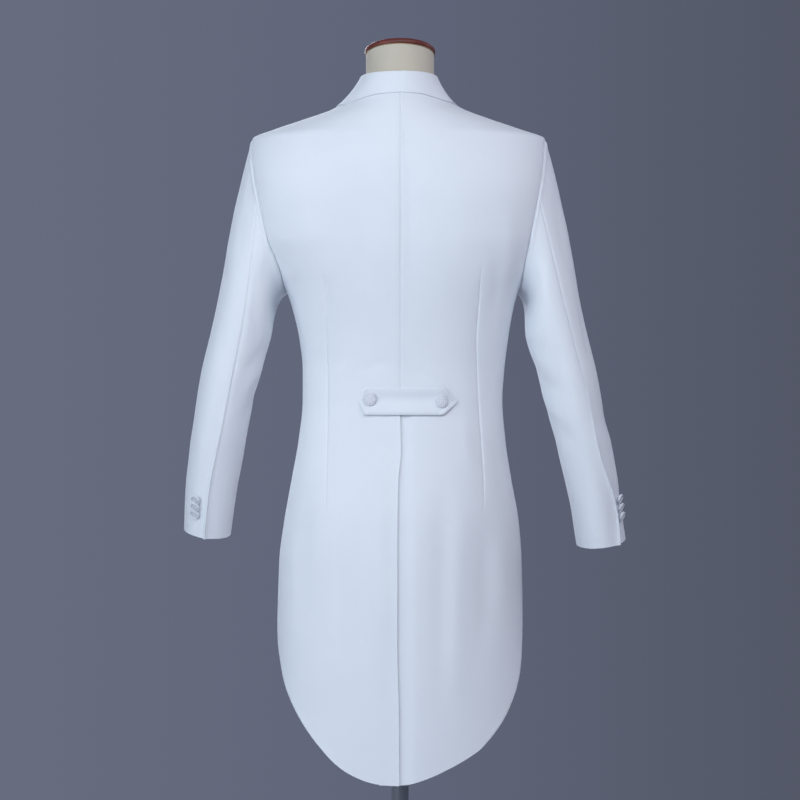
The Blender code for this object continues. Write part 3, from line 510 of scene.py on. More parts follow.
def woven_group():
    """Warp and weft crossing in a twill or, without slant, in a plain check, as height and as a colour mask:
    painted shade that darkens the weave's low places, mixed with random clouds of tone.
    """
    group, start, end = shader_group(
        "woven",
        [("Cut", "NodeSocketVector", None), ("Thread", "NodeSocketFloat", 0.0008),
         ("Slant", "NodeSocketFloat", 1.0), ("Slub", "NodeSocketFloat", 0.3)],
        [("Height", "NodeSocketFloat"), ("Shade", "NodeSocketFloat")])
    cut = start.outputs["Cut"]
    parts = add_node(group, "SeparateXYZ", {"Vector": cut}).outputs
    turns = maths(group, "DIVIDE", 2 * math.pi, start.outputs["Thread"])
    warp = maths(group, "MULTIPLY", parts["X"], turns)
    weft = maths(group, "MULTIPLY", parts["Y"], turns)
    slanted = maths(group, "MULTIPLY", weft, start.outputs["Slant"])
    rib = maths(group, "SINE", maths(group, "ADD", warp, slanted))
    cross = maths(group, "MULTIPLY", maths(group, "SINE", weft), WEFT_SHARE)
    threads = maths(group, "MULTIPLY", maths(group, "ADD", rib, cross), THREAD_RELIEF)
    slub = add_node(group, "TexNoise", {"Vector": cut, "Scale": SLUB_SCALE, "Detail": SLUB_DETAIL})
    uneven = maths(group, "SUBTRACT", slub.outputs[0], 0.5)
    uneven = maths(group, "MULTIPLY", uneven, start.outputs["Slub"])
    height = maths(group, "ADD", maths(group, "ADD", threads, uneven), 0.5)
    clouds = add_node(group, "TexNoise", {"Vector": cut, "Scale": CLOUD_SCALE, "Detail": CLOUD_DETAIL})
    # Painted shade: where the relief is low the colour mask is darker, plus random clouds of tone.
    shade = maths(group, "ADD", maths(group, "MULTIPLY", height, PAINTED_HOLLOW_SHADE), clouds.outputs[0])
    feed(group, end, {"Height": height, "Shade": maths(group, "SUBTRACT", shade, SHADE_LOWERED)})
    return group


WOVEN = woven_group()
THREAD_TO_RELIEF = 3
CLOTH_SPECULAR = 0.25
NAP_ROUGHNESS, NAP_TINT = 0.45, (0.90, 0.94, 1.0, 1)


def new_material(name):
    """A new material, with its node tree and its shader."""
    material = bpy.data.materials.new(name)
    material.use_nodes = True
    return material, material.node_tree, material.node_tree.nodes["Principled BSDF"]


def place_effect(tree, effect, inputs):
    node = tree.nodes.new("ShaderNodeGroup")
    node.node_tree = effect
    feed(tree, node, inputs)
    return node.outputs


def mix_tints(tree, shader, first, second, mask):
    """Two tints mixed by a mask, as the shader's colour."""
    tint = tree.nodes.new("ShaderNodeMix")
    tint.data_type = "RGBA"
    feed(tree, tint, {"A": first, "B": second, "Factor": mask})
    feed(tree, shader, {"Base Color": tint.outputs["Result"]})


def cloth_material(name, light, shade, thread, slant, slub, relief, roughness, sheen):
    """Woven cloth: a light tint and a shade tint mixed by the weave's mask, so that painted shade fills the
    weave's low places amid random clouds of tone; a fine relief and a soft nap on top.
    """
    material, tree, shader = new_material(name)
    cut = tree.nodes.new("ShaderNodeUVMap")
    cut.uv_map = "cut"
    woven = place_effect(tree, WOVEN, {"Cut": cut.outputs["UV"], "Thread": thread, "Slant": slant,
                                       "Slub": slub})
    # Painted shade: the shade tint darkens the weave's low places.
    mix_tints(tree, shader, shade, light, woven["Shade"])
    bump = add_node(tree, "Bump", {"Strength": relief, "Distance": thread / THREAD_TO_RELIEF,
                                 "Height": woven["Height"]})
    feed(tree, shader, {"Normal": bump.outputs["Normal"], "Roughness": roughness,
                        "Specular IOR Level": CLOTH_SPECULAR, "Sheen Weight": sheen,
                        "Sheen Roughness": NAP_ROUGHNESS, "Sheen Tint": NAP_TINT})
    return material


# White wool; its shade tint is painted shade in the weave's low places.
WHITE_WOOL = cloth_material("white wool", light=(0.830, 0.862, 0.905, 1), shade=(0.770, 0.806, 0.862, 1),
                            thread=0.0009, slant=1.0, slub=0.5, relief=0.22, roughness=0.78, sheen=0.22)


def armhole_line(rows, at):
    """Angle and height of a panel's armhole edge between its rows."""
    edge = np.array([(row[0][-1], row[1][-1]) for row in rows], float)
    return curve(np.arange(len(edge)), edge, at)


def make_back(side):
    rows = back_rows(side)
    at_rows = places(len(rows), ROWS_EACH)
    at_columns = places(CELLS_TO_DART + CELLS_FROM_DART + 1, COLUMNS_EACH, (CELLS_TO_DART,))
    angle, height = fine(rows, at_rows, at_columns)
    angle = mirrored(side, angle)
    points, normals = body_point(angle, height), body_normal(angle, height)
    out = side * points[..., 0]
    across, down = lengths(points, 1), lengths(points, 0)
    below_belt = smooth(-height, -UNDER_BELT, -VENT_OPEN)
    past_dart = out - along(DARTS, SIDES[side], height)
    depth = along(DARTS, "depth", height)
    lift = creased(out, height, BACK_CREASES[side])
    lift -= np.sqrt(np.maximum(depth, 0)) * DART_GROOVE * np.exp(-np.abs(past_dart) / DART_LINE)
    lift -= depth * DART_HOLLOW * np.exp(-(past_dart / DART_HOLLOW_WIDTH) ** 2)
    lift += depth * DART_STEP * np.exp(-np.abs(past_dart) / DART_STEP_WIDTH) * (side * past_dart < 0)
    lift += seamed(across[:, -1:] - across)
    lift += seamed(down) * smooth(out, NECK_WIDTH[side] - SHOULDER_SEAM_START, NECK_WIDTH[side])
    lift += seamed(across) * (1 - below_belt)
    if side == LEFT:
        lift += VENT_FLARE * np.exp(-out / VENT_FLARE_WIDTH) * below_belt
        points[..., 0] += along(VENT_SWAY, "shift", height) * np.exp(-out / VENT_SWAY_WIDTH) * below_belt
    else:
        ridge = BACK_RIDGE * np.exp(-((across - BACK_RIDGE_AT) / BACK_RIDGE_WIDTH) ** 2)
        lift += ridge * (1 - below_belt)
        lift -= VENT_TUCK * (1 - smooth(out, VENT_TUCK_FLAT, VENT_TUCK_END)) * below_belt
    points = pulled_in(points + normals * lift[..., None])
    arm = at_rows <= len(ARM_ROWS) - 1
    normals[arm, -1] = armhole_mitre(side, at_rows[arm])
    flat = np.stack([across, -down], axis=-1)
    coat_piece(SIDES[side] + "_back", "back_" + SIDES[side], points, normals, flat)


# ------------------------------------------------------------------ sleeves
# Each sleeve is cut in two, a wide top half and a narrow under half, seamed at the elbow and the
# forearm and set into the armhole a little full. The elbow seam is pressed to an edge that stands
# out towards the cuff, where the top half laps over the under one.
Ring = namedtuple("Ring", "height across back half depth seam ridge")
SLEEVE = {
    LEFT: [
        Ring(1100, 240, 4, 45, 63, 96, 0),
        Ring(1055, 252, 3, 44, 61, 99, 0),
        Ring(1010, 262, 0, 42, 59, 100, 1),
        Ring(980, 267.5, -3, 41, 58, 99, 1.5),
        Ring(950, 273, -7, 40.5, 57, 97, 2.5),
        Ring(920, 278, -13, 39.5, 56, 95, 3),
        Ring(890, 283, -19, 38.5, 55, 93, 4),
        Ring(850, 288, -28, 36.5, 54, 92, 5),
        Ring(811, 292, -37, 34.5, 53, 92, 6),
    ],
    RIGHT: [
        Ring(1100, 236, 4, 45.5, 63, 66, 0),
        Ring(1055, 248.5, 3, 44.3, 61, 66, 0),
        Ring(1010, 259.5, 0, 42, 59, 64, 1),
        Ring(980, 266, -3, 40.5, 58, 65, 1.5),
        Ring(950, 275, -7, 40.5, 57, 69, 2),
        Ring(920, 281.5, -13, 40, 56, 67, 2.5),
        Ring(890, 288.3, -19, 39, 55, 60, 3),
        Ring(843, 297, -29, 36.5, 53.5, 51, 3.5),
        Ring(796, 305, -40, 36.5, 52, 56, 4),
    ],
}
CAP_FULLNESS = {LEFT: 24, RIGHT: 30}
UNDER_FULLNESS = {LEFT: 64, RIGHT: 74}
ELBOW_COLUMN, FOREARM_COLUMN, SLEEVE_COLUMNS = 6, 15, 24
CUFF_BACK_DROP, CUFF_OUTER_RISE, CUFF_SLOPE_FROM = 7, 5, 920
CAP_LINES, RING_STEP = 60, 4.0
SLEEVE_COLUMNS_EACH = 5
HEAD_PROBE = 8
RIDGE_FROM, RIDGE_FULL = 1190, 1000
RIDGE_WIDTH, RIDGE_GAIN = 3.6, {LEFT: 1.15, RIGHT: 1.6}
LAP_FROM, LAP_FULL = 1180, 1000
LAP_WIDTH, LAP_STEP = 4, {LEFT: 1.2, RIGHT: 0.6}
CUFF_VENT_TOP, CUFF_VENT_SOFT, CUFF_VENT_COLUMN = 858, 6, 5.6
CUFF_VENT_DEPTH, CUFF_VENT_WIDTH = 1.1, 0.075
HEAD_ROLL, HEAD_ROLL_AT, HEAD_ROLL_WIDTH = 1.3, 6.0, 5.0
HEAD_SMOOTH, HEAD_CREASED = 4, 26

# Sleeve creases: places are degrees round the sleeve, 0 outwards and 90 at the elbow seam, and height
SLEEVE_CREASES = {
    LEFT: [
        Crease(128, 1192, 140, 1118, 4, -1.7, 12),
        Crease(152, 1168, 160, 1085, 5, 1.3, 12),
        Crease(100, 1150, 128, 1090, -4, 1.4, 10),
        Crease(170, 1090, 112, 1040, 8, 2.0, 11),
        Crease(185, 1062, 120, 1008, 9, -1.9, 11),
        Crease(205, 1028, 130, 968, 7, 1.9, 12),
        Crease(60, 1120, 84, 1040, 5, 1.1, 11),
        Crease(52, 1290, 62, 1205, -4, 1.2, 12),
        Crease(20, 1330, 26, 1200, 5, -1.3, 17),
        Crease(330, 1110, 280, 1062, 6, 1.9, 12),
        Crease(318, 1070, 262, 1020, 6, -1.7, 11),
        Crease(300, 1230, 292, 1120, 6, 1.5, 12),
        Crease(255, 1180, 262, 1110, -4, 2.0, 9),
        Crease(40, 980, 62, 890, -4, -1.0, 12),
        Crease(310, 960, 286, 872, 6, 1.2, 13),
        Crease(210, 960, 196, 880, 5, -1.2, 12),
    ],
    RIGHT: [
        Crease(150, 1178, 158, 1098, -5, 1.0, 12),
        Crease(118, 1210, 124, 1128, 4, -1.6, 13),
        Crease(192, 1106, 118, 1052, -7, -1.0, 12),
        Crease(200, 1072, 110, 1016, -8, 2.1, 12),
        Crease(188, 1030, 122, 975, -6, -1.6, 11),
        Crease(176, 985, 120, 930, 6, 1.4, 12),
        Crease(36, 1150, 58, 1060, 4, 1.4, 11),
        Crease(46, 1330, 52, 1190, -6, 1.6, 14),
        Crease(14, 1300, 20, 1160, 5, -1.2, 18),
        Crease(335, 1125, 276, 1076, -7, 1.8, 12),
        Crease(322, 1085, 266, 1034, -5, -1.8, 11),
        Crease(296, 1240, 288, 1130, 6, 1.6, 11),
        Crease(252, 1175, 258, 1100, 4, 2.1, 9),
        Crease(28, 950, 44, 860, 4, -1.1, 12),
        Crease(312, 945, 290, 862, 5, 1.3, 12),
    ],
}
DEGREE_LENGTH = 0.92


def sleeve_ring(side, height, turn):
    """Points of the sleeve below the armhole; the rings slope towards the cuff."""
    table = SLEEVE[side]
    ring = {name: along(table, name, height) for name in Ring._fields[1:]}
    before = turn * ring["seam"] / 90
    between = mix(ring["seam"], 180, (turn - 90) / 90)
    angle = np.radians(np.where(turn <= 90, before, np.where(turn <= 180, between, turn)))
    outwards, backwards = np.cos(angle), np.sin(angle)
    slope = smooth(-height, -CUFF_SLOPE_FROM, -table[-1].height)
    x = side * (ring["across"] + ring["half"] * outwards)
    y = ring["back"] + ring["depth"] * backwards
    z = height + slope * (CUFF_OUTER_RISE * outwards - CUFF_BACK_DROP * backwards)
    return np.stack([x, y, z + 0 * x], axis=-1)


def sleeve_grid(side):
    """Points, turns and lines of the whole sleeve, from the armhole to the cuff."""
    fine_at = (CUFF_VENT_COLUMN, ELBOW_COLUMN, FOREARM_COLUMN)
    column = places(SLEEVE_COLUMNS + 1, SLEEVE_COLUMNS_EACH, fine_at)
    turn = column * 360 / SLEEVE_COLUMNS
    half = len(ARM_ROWS) - 1
    back_edge = armhole_line(BACK_ROWS[side], np.minimum(column, half))
    front_edge = armhole_line(FRONT_ROWS[side], np.minimum(SLEEVE_COLUMNS - column, half))
    edge = np.where((column <= half)[:, None], back_edge, front_edge)
    head = body_point(mirrored(side, edge[:, 0]), edge[:, 1])
    on_body = body_normal(mirrored(side, edge[:, 0]), edge[:, 1])
    top, bottom = SLEEVE[side][0].height, SLEEVE[side][-1].height
    end = sleeve_ring(side, np.full_like(turn, top), turn)
    onwards = unit(sleeve_ring(side, np.full_like(turn, top - HEAD_PROBE), turn) - end)
    outwards = np.cos(np.radians(turn))
    fullness = CAP_FULLNESS[side] * np.maximum(outwards, 0)
    fullness += UNDER_FULLNESS[side] * np.maximum(-outwards, 0)
    leave = end - head + fullness[:, None] * np.array([side, 0, 0])
    arrive = onwards * np.linalg.norm(end - head, axis=1, keepdims=True)
    part = np.linspace(0, 1, CAP_LINES + 1)[:-1, None, None]
    cap = ((1 + 2 * part) * (1 - part) ** 2 * head + part * (1 - part) ** 2 * leave
           + part ** 2 * (3 - 2 * part) * end + part ** 2 * (part - 1) * arrive)
    heights = np.linspace(top, bottom, round((top - bottom) / RING_STEP) + 1)
    rings = np.stack([sleeve_ring(side, np.full_like(turn, height), turn) for height in heights])
    points = np.concatenate([cap, rings])
    round_way = np.roll(points[:, :-1], -1, axis=1) - np.roll(points[:, :-1], 1, axis=1)
    round_way = np.concatenate([round_way, round_way[:, :1]], axis=1)
    down_way = np.gradient(points, axis=0)
    normals = unit(np.cross(down_way, round_way) * side)
    return points, normals, turn, column, on_body


SleeveShape = namedtuple("SleeveShape", "points normals lift column on_body elbow")


def shaped_sleeve(side):
    """The whole sleeve, how far its creases, ridge and head lift it, and where its elbow seam runs."""
    points, normals, turn, column, on_body = sleeve_grid(side)
    height = points[..., 2]
    down = lengths(points, 0)
    lift = np.zeros(height.shape)
    for shift in (-360, 0, 360):
        lift += creased((turn + shift) * DEGREE_LENGTH + 0 * height, height,
                        [crease._replace(x1=crease.x1 * DEGREE_LENGTH, x2=crease.x2 * DEGREE_LENGTH)
                         for crease in SLEEVE_CREASES[side]])
    lift *= smooth(down, HEAD_SMOOTH, HEAD_CREASED)
    around = lengths(points, 1)
    low = smooth(-height, -RIDGE_FROM, -RIDGE_FULL)
    ridge = along(SLEEVE[side], "ridge", np.minimum(height, SLEEVE[side][0].height)) * low
    elbow = int(np.argmin(np.abs(column - ELBOW_COLUMN)))
    from_elbow = around - around[:, elbow:elbow + 1]
    lift += ridge * RIDGE_GAIN[side] * np.exp(-np.abs(from_elbow) / RIDGE_WIDTH)
    lift += HEAD_ROLL * np.exp(-((down - HEAD_ROLL_AT) / HEAD_ROLL_WIDTH) ** 2)
    return SleeveShape(points, normals, lift, column, on_body, elbow)


def armhole_mitre(side, at):
    """Offset of the wall at the armhole, where the sleeve's cloth meets the panel's."""
    shape = SLEEVE_SHAPES[side]
    turned, on_body = unit(shape.normals[0]), shape.on_body
    joint = (turned + on_body) / np.maximum(1 + np.sum(turned * on_body, axis=1, keepdims=True), 1e-3)
    size = np.linalg.norm(joint, axis=1, keepdims=True)
    joint = joint * np.minimum(1, MITRE_LIMIT / size)
    return np.stack([np.interp(at, shape.column, joint[:, axis]) for axis in range(3)], axis=1)


def make_sleeve(side):
    shape = SLEEVE_SHAPES[side]
    column, elbow = shape.column, shape.elbow
    mitre = armhole_mitre(side, column)
    forearm = int(np.argmin(np.abs(column - FOREARM_COLUMN)))
    halves = {"top": list(range(forearm, len(column) - 1)) + list(range(0, elbow + 1)),
              "under": list(range(elbow, forearm + 1))}
    for half, columns in halves.items():
        worn = shape.points[:, columns]
        out = shape.normals[:, columns].copy()
        across, down = lengths(worn, 1), lengths(worn, 0)
        rise = shape.lift[:, columns] + seamed(across) + seamed(across[:, -1:] - across)
        lap = LAP_STEP[side] * smooth(-worn[..., 2], -LAP_FROM, -LAP_FULL)
        from_elbow = across[:, -1:] - across if half == "top" else across
        rise += lap * np.exp(-from_elbow / LAP_WIDTH) * (1 if half == "top" else -1)
        if half == "top":
            opening = smooth(-worn[..., 2], -CUFF_VENT_TOP, -CUFF_VENT_TOP + CUFF_VENT_SOFT)
            from_line = column[columns] - CUFF_VENT_COLUMN
            rise -= opening * CUFF_VENT_DEPTH * np.exp(-(from_line / CUFF_VENT_WIDTH) ** 2)
        points = pulled_in(worn + out * rise[..., None])
        out[0] = mitre[columns]
        points[0] = worn[0] + unit(worn[1] - worn[0]) * SEAM_GAP / 2
        flat = np.stack([across, -down], axis=-1)
        coat_piece("%s_%s_sleeve" % (SIDES[side], half), "sleeve_%s_%s" % (half, SIDES[side]),
                   points, out, flat)


# ------------------------------------------------------------------ fronts
# Two waist-length pieces of the same wool, worn open. Each ends in a shallow point at the waist,
# and its inner edge carries the collar.
FRONT_EDGE_TOP, FRONT_EDGE_LOW, FRONT_EDGE_X = 1466, 1060, 44
FRONT_POINT, FRONT_POINT_FROM = 30, 1075
FRONT_CELLS = 8
FRONT_CREASES = {
    LEFT: [
        Crease(168, 1330, 130, 1180, 8, 1.8, 15),
        Crease(150, 1215, 128, 1080, -6, -1.5, 13),
        Crease(100, 1240, 92, 1060, 5, 1.5, 14),
        Crease(66, 1120, 96, 1010, -5, 1.4, 10),
        Crease(120, 1090, 134, 1010, 4, 1.2, 10),
        Crease(176, 1375, 150, 1300, 5, -1.1, 12),
    ],
    RIGHT: [
        Crease(160, 1345, 136, 1165, -7, 1.6, 14),
        Crease(148, 1190, 132, 1060, 5, -1.4, 12),
        Crease(88, 1200, 102, 1030, -6, 1.6, 13),
        Crease(60, 1080, 84, 1005, 4, -1.2, 9),
        Crease(124, 1120, 144, 1030, 4, 1.3, 10),
        Crease(170, 1370, 152, 1290, -4, -1.0, 13),
    ],
}


def front_edge_x(side, height):
    """How far the fronts' inner edge, the fold line of the collar, is from the middle."""
    part = (FRONT_EDGE_TOP - height) / (FRONT_EDGE_TOP - FRONT_EDGE_LOW)
    return mix(NECK_WIDTH[side], FRONT_EDGE_X, min(max(part, 0.0), 1.0))


def front_row(side, height_side, edge, evenness, rise):
    shoulder = ARM_ROWS[0].height
    shoulder_x = side_width(side, 0, shoulder)
    point_share = smooth(-height_side, -FRONT_POINT_FROM, -WAIST_ROWS[-1].height)
    heights = []
    for cell in range(FRONT_CELLS + 1):
        part = cell / FRONT_CELLS
        rising = rise * (top_height(mix(NECK_WIDTH[side], shoulder_x, part), side) - shoulder)
        heights.append(height_side + rising - point_share * FRONT_POINT * (1 - part))
    stops = [front_edge_x(side, heights[0])]
    return row_angles(side, -1, heights, stops, edge, evenness), heights


def front_rows(side):
    rows = [top_row(side, -1, FRONT_CELLS)]
    for row in ARM_ROWS[1:]:
        evenness = smooth(row.height, EVEN_FROM, EVEN_TO)
        rows.append(front_row(side, row.height, row.front, evenness, row.rise))
    return rows + [front_row(side, row.height, row.edge, 1.0, 0) for row in WAIST_ROWS]


def make_front(side):
    rows = FRONT_ROWS[side]
    at_rows = places(len(rows), ROWS_EACH)
    at_columns = places(FRONT_CELLS + 1, COLUMNS_EACH)
    angle, height = fine(rows, at_rows, at_columns)
    angle = mirrored(side, angle)
    points, normals = body_point(angle, height), body_normal(angle, height)
    out = side * points[..., 0]
    across, down = lengths(points, 1), lengths(points, 0)
    lift = creased(out, height, FRONT_CREASES[side])
    lift += seamed(across[:, -1:] - across) + seamed(down)
    points = pulled_in(points + normals * lift[..., None])
    arm = at_rows <= len(ARM_ROWS) - 1
    at = np.mod(SLEEVE_COLUMNS - at_rows[arm], SLEEVE_COLUMNS)
    normals[arm, -1] = armhole_mitre(side, at)
    flat = np.stack([across, -down], axis=-1)
    coat_piece(SIDES[side] + "_front", "front_" + SIDES[side], points, normals, flat)


BACK_ROWS = {side: back_rows(side) for side in SIDES}
FRONT_ROWS = {side: front_rows(side) for side in SIDES}
SLEEVE_SHAPES = {side: shaped_sleeve(side) for side in SIDES}
for side in SIDES:
    make_back(side)
    make_front(side)
    make_sleeve(side)

# ------------------------------------------------------------------ collar
# A shawl collar in one piece of the same wool: it stands up round the neck, folds over and falls on
# the backs and fronts, down to the waist on both sides. Its edge is finished with fine pick stitches.
Fold = namedtuple("Fold", "run stand lean left_x left_z right_x right_z clear")
COLLAR = [
    Fold(0, 22, 5, 0, 1460, 0, 1460, 1.2),
    Fold(24, 22.5, 5.5, 31, 1458.5, 29, 1459, 1.2),
    Fold(46, 24, 7, 60, 1452.5, 54, 1454, 1.2),
    Fold(60, 25, 9, 80, 1448, 71, 1451, 1.4),
    Fold(64, 25.2, 9.6, 87.5, 1447.5, 76.5, 1451, 1.6),
    Fold(68, 25, 10, 94, 1448, 82, 1452, 1.8),
    Fold(72, 21.5, 8.6, 101, 1438, 92, 1441, 1.8),
    Fold(77, 18, 7, 109, 1425, 103, 1427, 1.6),
    Fold(88, 12, 4, 119.5, 1407, 116.5, 1408, 1.4),
    Fold(104, 8, 1, 128, 1386, 127, 1386, 1.2),
    Fold(134, 6, -1.7, 136, 1352, 136, 1352, 1.2),
    Fold(172, 5, -1.7, 140, 1312, 140, 1312, 1.2),
    Fold(214, 4, -1.7, 139, 1270, 139, 1270, 1.2),
    Fold(259, 4, -1.7, 132, 1226, 132, 1226, 1.2),
    Fold(309, 3, -1.7, 119, 1180, 119, 1180, 1.2),
    Fold(359, 3, -1.7, 100, 1137, 100, 1137, 1.2),
    Fold(406, 3, -1.7, 76, 1100, 76, 1100, 1.2),
    Fold(446, 3, -1.7, 50, 1080, 50, 1080, 1.2),
]
NECK_RUN = 68
COLLAR_LEAN = {LEFT: 1.0, RIGHT: 0.7}
COLLAR_FOOT, COLLAR_CLEAR = 1.4, 0.4
COLLAR_TURN = 1.7
COLLAR_SPREAD = 1.3
COLLAR_FLAT_FROM, COLLAR_FLAT_TO = 1466, 1410
STAND_LINES, TURN_LINES, LEAF_LINES = 6, 6, 22
COLLAR_RUN_STEP = 4.0


def collar_station(side, run):
    """One section of the collar: up the stand, over the fold and out to the fall's edge."""
    label = SIDES[side]
    columns = ("stand", "lean", label + "_x", label + "_z", "clear")
    stand, lean, edge_x, edge_z, clear = (float(along(COLLAR, name, run)) for name in columns)
    lean *= COLLAR_LEAN[side]
    edge_angle = side_angle(side, edge_x, edge_z, 1 if run < NECK_RUN else -1)
    if run < NECK_RUN:
        seam_x = run / NECK_RUN * NECK_WIDTH[side]
        seam_z = top_height(seam_x, side)
        seam_angle = side_angle(side, seam_x, seam_z, 1)
    elif run == NECK_RUN:
        seam_angle, seam_z = 0.0, NECK_SIDE
        edge_angle, edge_z = 0.0, top_height(edge_x, side)
    else:
        seam_z = NECK_SIDE - (run - NECK_RUN)
        seam_angle = side_angle(side, front_edge_x(side, seam_z), seam_z, -1)
    seam = body_point(mirrored(side, seam_angle), seam_z)
    normal = body_normal(mirrored(side, seam_angle), seam_z)
    flat = smooth(-seam_z, -COLLAR_FLAT_FROM, -COLLAR_FLAT_TO)
    inwards = unit(body_point(mirrored(side, seam_angle - 1), seam_z) - seam)
    upward = unit(mix(np.array([0, 0, 1.0]), inwards, flat))
    outward = unit(mix(unit(normal * [1, 1, 0]), normal, flat))
    crest = seam + upward * stand - outward * lean
    foot = seam + upward * COLLAR_FOOT * (1 - flat)
    lift = WALL + COLLAR_CLEAR * clear
    turn = np.radians(np.linspace(0, 180, TURN_LINES + 1))[:, None]
    stand_line = mix(foot, crest - outward * COLLAR_TURN, np.linspace(0, 1, STAND_LINES)[:-1, None])
    fold_line = crest + COLLAR_TURN * (upward * np.sin(turn) - outward * np.cos(turn))
    part = np.linspace(0, 1, LEAF_LINES + 1)[:, None]
    angles = mirrored(side, mix(seam_angle, edge_angle, part[:, 0]))
    heights = mix(seam_z, edge_z, part[:, 0])
    laid = body_point(angles, heights) + body_normal(angles, heights) * lift
    start = crest + outward * COLLAR_TURN
    leaf = laid + (start - laid[0]) * (1 - part) ** COLLAR_SPREAD
    return np.concatenate([stand_line, fold_line, leaf[1:]])


def make_collar():
    marks = [fold.run for fold in COLLAR]
    runs = []
    for first, second in zip(marks, marks[1:]):
        runs += list(np.linspace(first, second, max(2, round((second - first) / COLLAR_RUN_STEP)) + 1)[:-1])
    runs.append(marks[-1])
    right = [collar_station(RIGHT, run) for run in reversed(runs[1:])]
    points = np.stack(right + [collar_station(LEFT, run) for run in runs])
    across, along_seam = lengths(points, 1), lengths(points, 0)
    round_way = np.gradient(points, axis=1)
    down_way = np.gradient(points, axis=0)
    normals = -unit(np.cross(round_way, down_way))
    points = pulled_in(points)
    flat = np.stack([along_seam, -across], axis=-1)
    coat_piece("shawl_collar", "collar", points, normals, flat)
    return points, normals


collar_points, collar_normals = make_collar()

# ------------------------------------------------------------------ half-belt
# A strap of doubled wool across the small of the back, blunt at its left end and pointed at its
# right, its edges turned in and topstitched. It is held by a covered button near each end.
BELT_BOTTOM, BELT_TOP = 987.5, 1028
BELT_LEFT_TIP, BELT_LEFT_CORNER = 59, 51
BELT_RIGHT_CORNER, BELT_RIGHT_TIP = -63, -83
BELT_TIP_HALF = 1.5
BELT_WALL, BELT_LIFT = 1.8, 5.0
BELT_HOLLOW, BELT_HOLLOW_AT, BELT_HOLLOW_WIDTH = 2.9, 3.5, 10.0
BELT_EDGE_ROLL, BELT_EDGE_WIDTH = 1.3, 1.3
BELT_FOLD, BELT_FOLD_IN, BELT_FOLD_STEP = 0.9, 5.0, 0.9
STITCH_IN, STITCH_GROOVE, STITCH_GROOVE_WIDTH = 2.6, 0.20, 0.7
FAR_INSIDE = 100.0
BELT_ALONG, BELT_ACROSS = 100, 34


def belt_half(x):
    """Half the belt's width at a place along it."""
    half = (BELT_TOP - BELT_BOTTOM) / 2
    return np.interp(-x, [-BELT_LEFT_TIP, -BELT_LEFT_CORNER, -BELT_RIGHT_CORNER, -BELT_RIGHT_TIP],
                     [BELT_TIP_HALF, half, half, BELT_TIP_HALF])


def belt_surface(x, height, lift):
    """A place on the backs under the belt, moved out."""
    angle = np.array([side_angle(LEFT, a, b, 1) for a, b in zip(np.ravel(x), np.ravel(height))])
    angle = angle.reshape(np.shape(x))
    normal = body_normal(angle, height)
    return body_point(angle, height) + normal * np.asarray(lift)[..., None], normal


def inside_edges(x, up):
    """How far a place on the belt is from its nearest edge, and from its nearest slanted end."""
    distance = (BELT_TOP - BELT_BOTTOM) / 2 - np.abs(up)
    to_end = np.full_like(distance, FAR_INSIDE)
    for corner, tip in ((BELT_LEFT_CORNER, BELT_LEFT_TIP), (BELT_RIGHT_CORNER, BELT_RIGHT_TIP)):
        run, rise = abs(tip - corner), (BELT_TOP - BELT_BOTTOM) / 2 - BELT_TIP_HALF
        way = 1 if tip > corner else -1
        beyond = (way * (tip - x)) * rise / math.hypot(run, rise)
        slanted = beyond - (np.abs(up) - BELT_TIP_HALF) * run / math.hypot(run, rise)
        distance = np.minimum(distance, slanted)
        to_end = np.minimum(to_end, slanted)
    return np.maximum(distance, 0), np.maximum(to_end, 0)


x_line = np.linspace(BELT_LEFT_TIP, BELT_RIGHT_TIP, BELT_ALONG + 1)
corners = np.array([BELT_LEFT_CORNER, BELT_RIGHT_CORNER])
x_line[[int(np.argmin(np.abs(x_line - corner))) for corner in corners]] = corners
part_line = np.linspace(1, -1, BELT_ACROSS + 1)
belt_x = np.tile(x_line, (BELT_ACROSS + 1, 1))
belt_up = part_line[:, None] * belt_half(x_line)
edge_in, end_in = inside_edges(belt_x, belt_up)


def belt_rise(up, from_edge, from_end):
    """Height of the belt's middle layer over the coat: hollow, with folded ends and rolled edges."""
    rise = BELT_LIFT - BELT_HOLLOW * np.exp(-((up - BELT_HOLLOW_AT) / BELT_HOLLOW_WIDTH) ** 2)
    rise += BELT_FOLD * (1 - smooth(from_end, BELT_FOLD_IN - BELT_FOLD_STEP, BELT_FOLD_IN))
    rise -= BELT_EDGE_ROLL * np.exp(-from_edge / BELT_EDGE_WIDTH)
    return rise - STITCH_GROOVE * np.exp(-((from_edge - STITCH_IN) / STITCH_GROOVE_WIDTH) ** 2)


belt_middle = (BELT_TOP + BELT_BOTTOM) / 2
belt_points, belt_normals = belt_surface(belt_x, belt_middle + belt_up, belt_rise(belt_up, edge_in, end_in))
coat_piece("half_belt", "back_belt", belt_points, belt_normals, np.stack([-belt_x, belt_up], axis=-1),
           thickness=BELT_WALL)

# ------------------------------------------------------------------ covered buttons
# Domed buttons covered in a finely checked white silk, two on the half-belt and three overlapping
# up each cuff, sewn on through a shank.
BELT_BUTTON_RADIUS, BELT_BUTTON_HEIGHT = 9.6, 5.4
BELT_BUTTONS = {"left": (43, 1010.5), "right": (-60, 1007.5)}
CUFF_BUTTON_RADIUS, CUFF_BUTTON_HEIGHT = 7.4, 3.6
CUFF_BUTTON_TILT = math.radians(24)
CUFF_BUTTON_SINK = 0.2
CUFF_BUTTON_STEP = {LEFT: 11.2, RIGHT: 13.5}
CUFF_BUTTON_FIRST = {LEFT: 36, RIGHT: 42}
CUFF_BUTTON_COLUMN = {LEFT: 4.4, RIGHT: 4.1}
DOMED = ((0, 1.00), (0.22, 0.99), (0.45, 0.95), (0.62, 0.885), (0.68, 0.84), (0.71, 0.74), (0.74, 0.73),
         (0.77, 0.79), (0.84, 0.76), (0.92, 0.64), (0.985, 0.46), (1.0, 0.36), (0.97, 0.25), (0.90, 0.16),
         (0.78, 0.07), (0.60, 0.0), (0, 0))
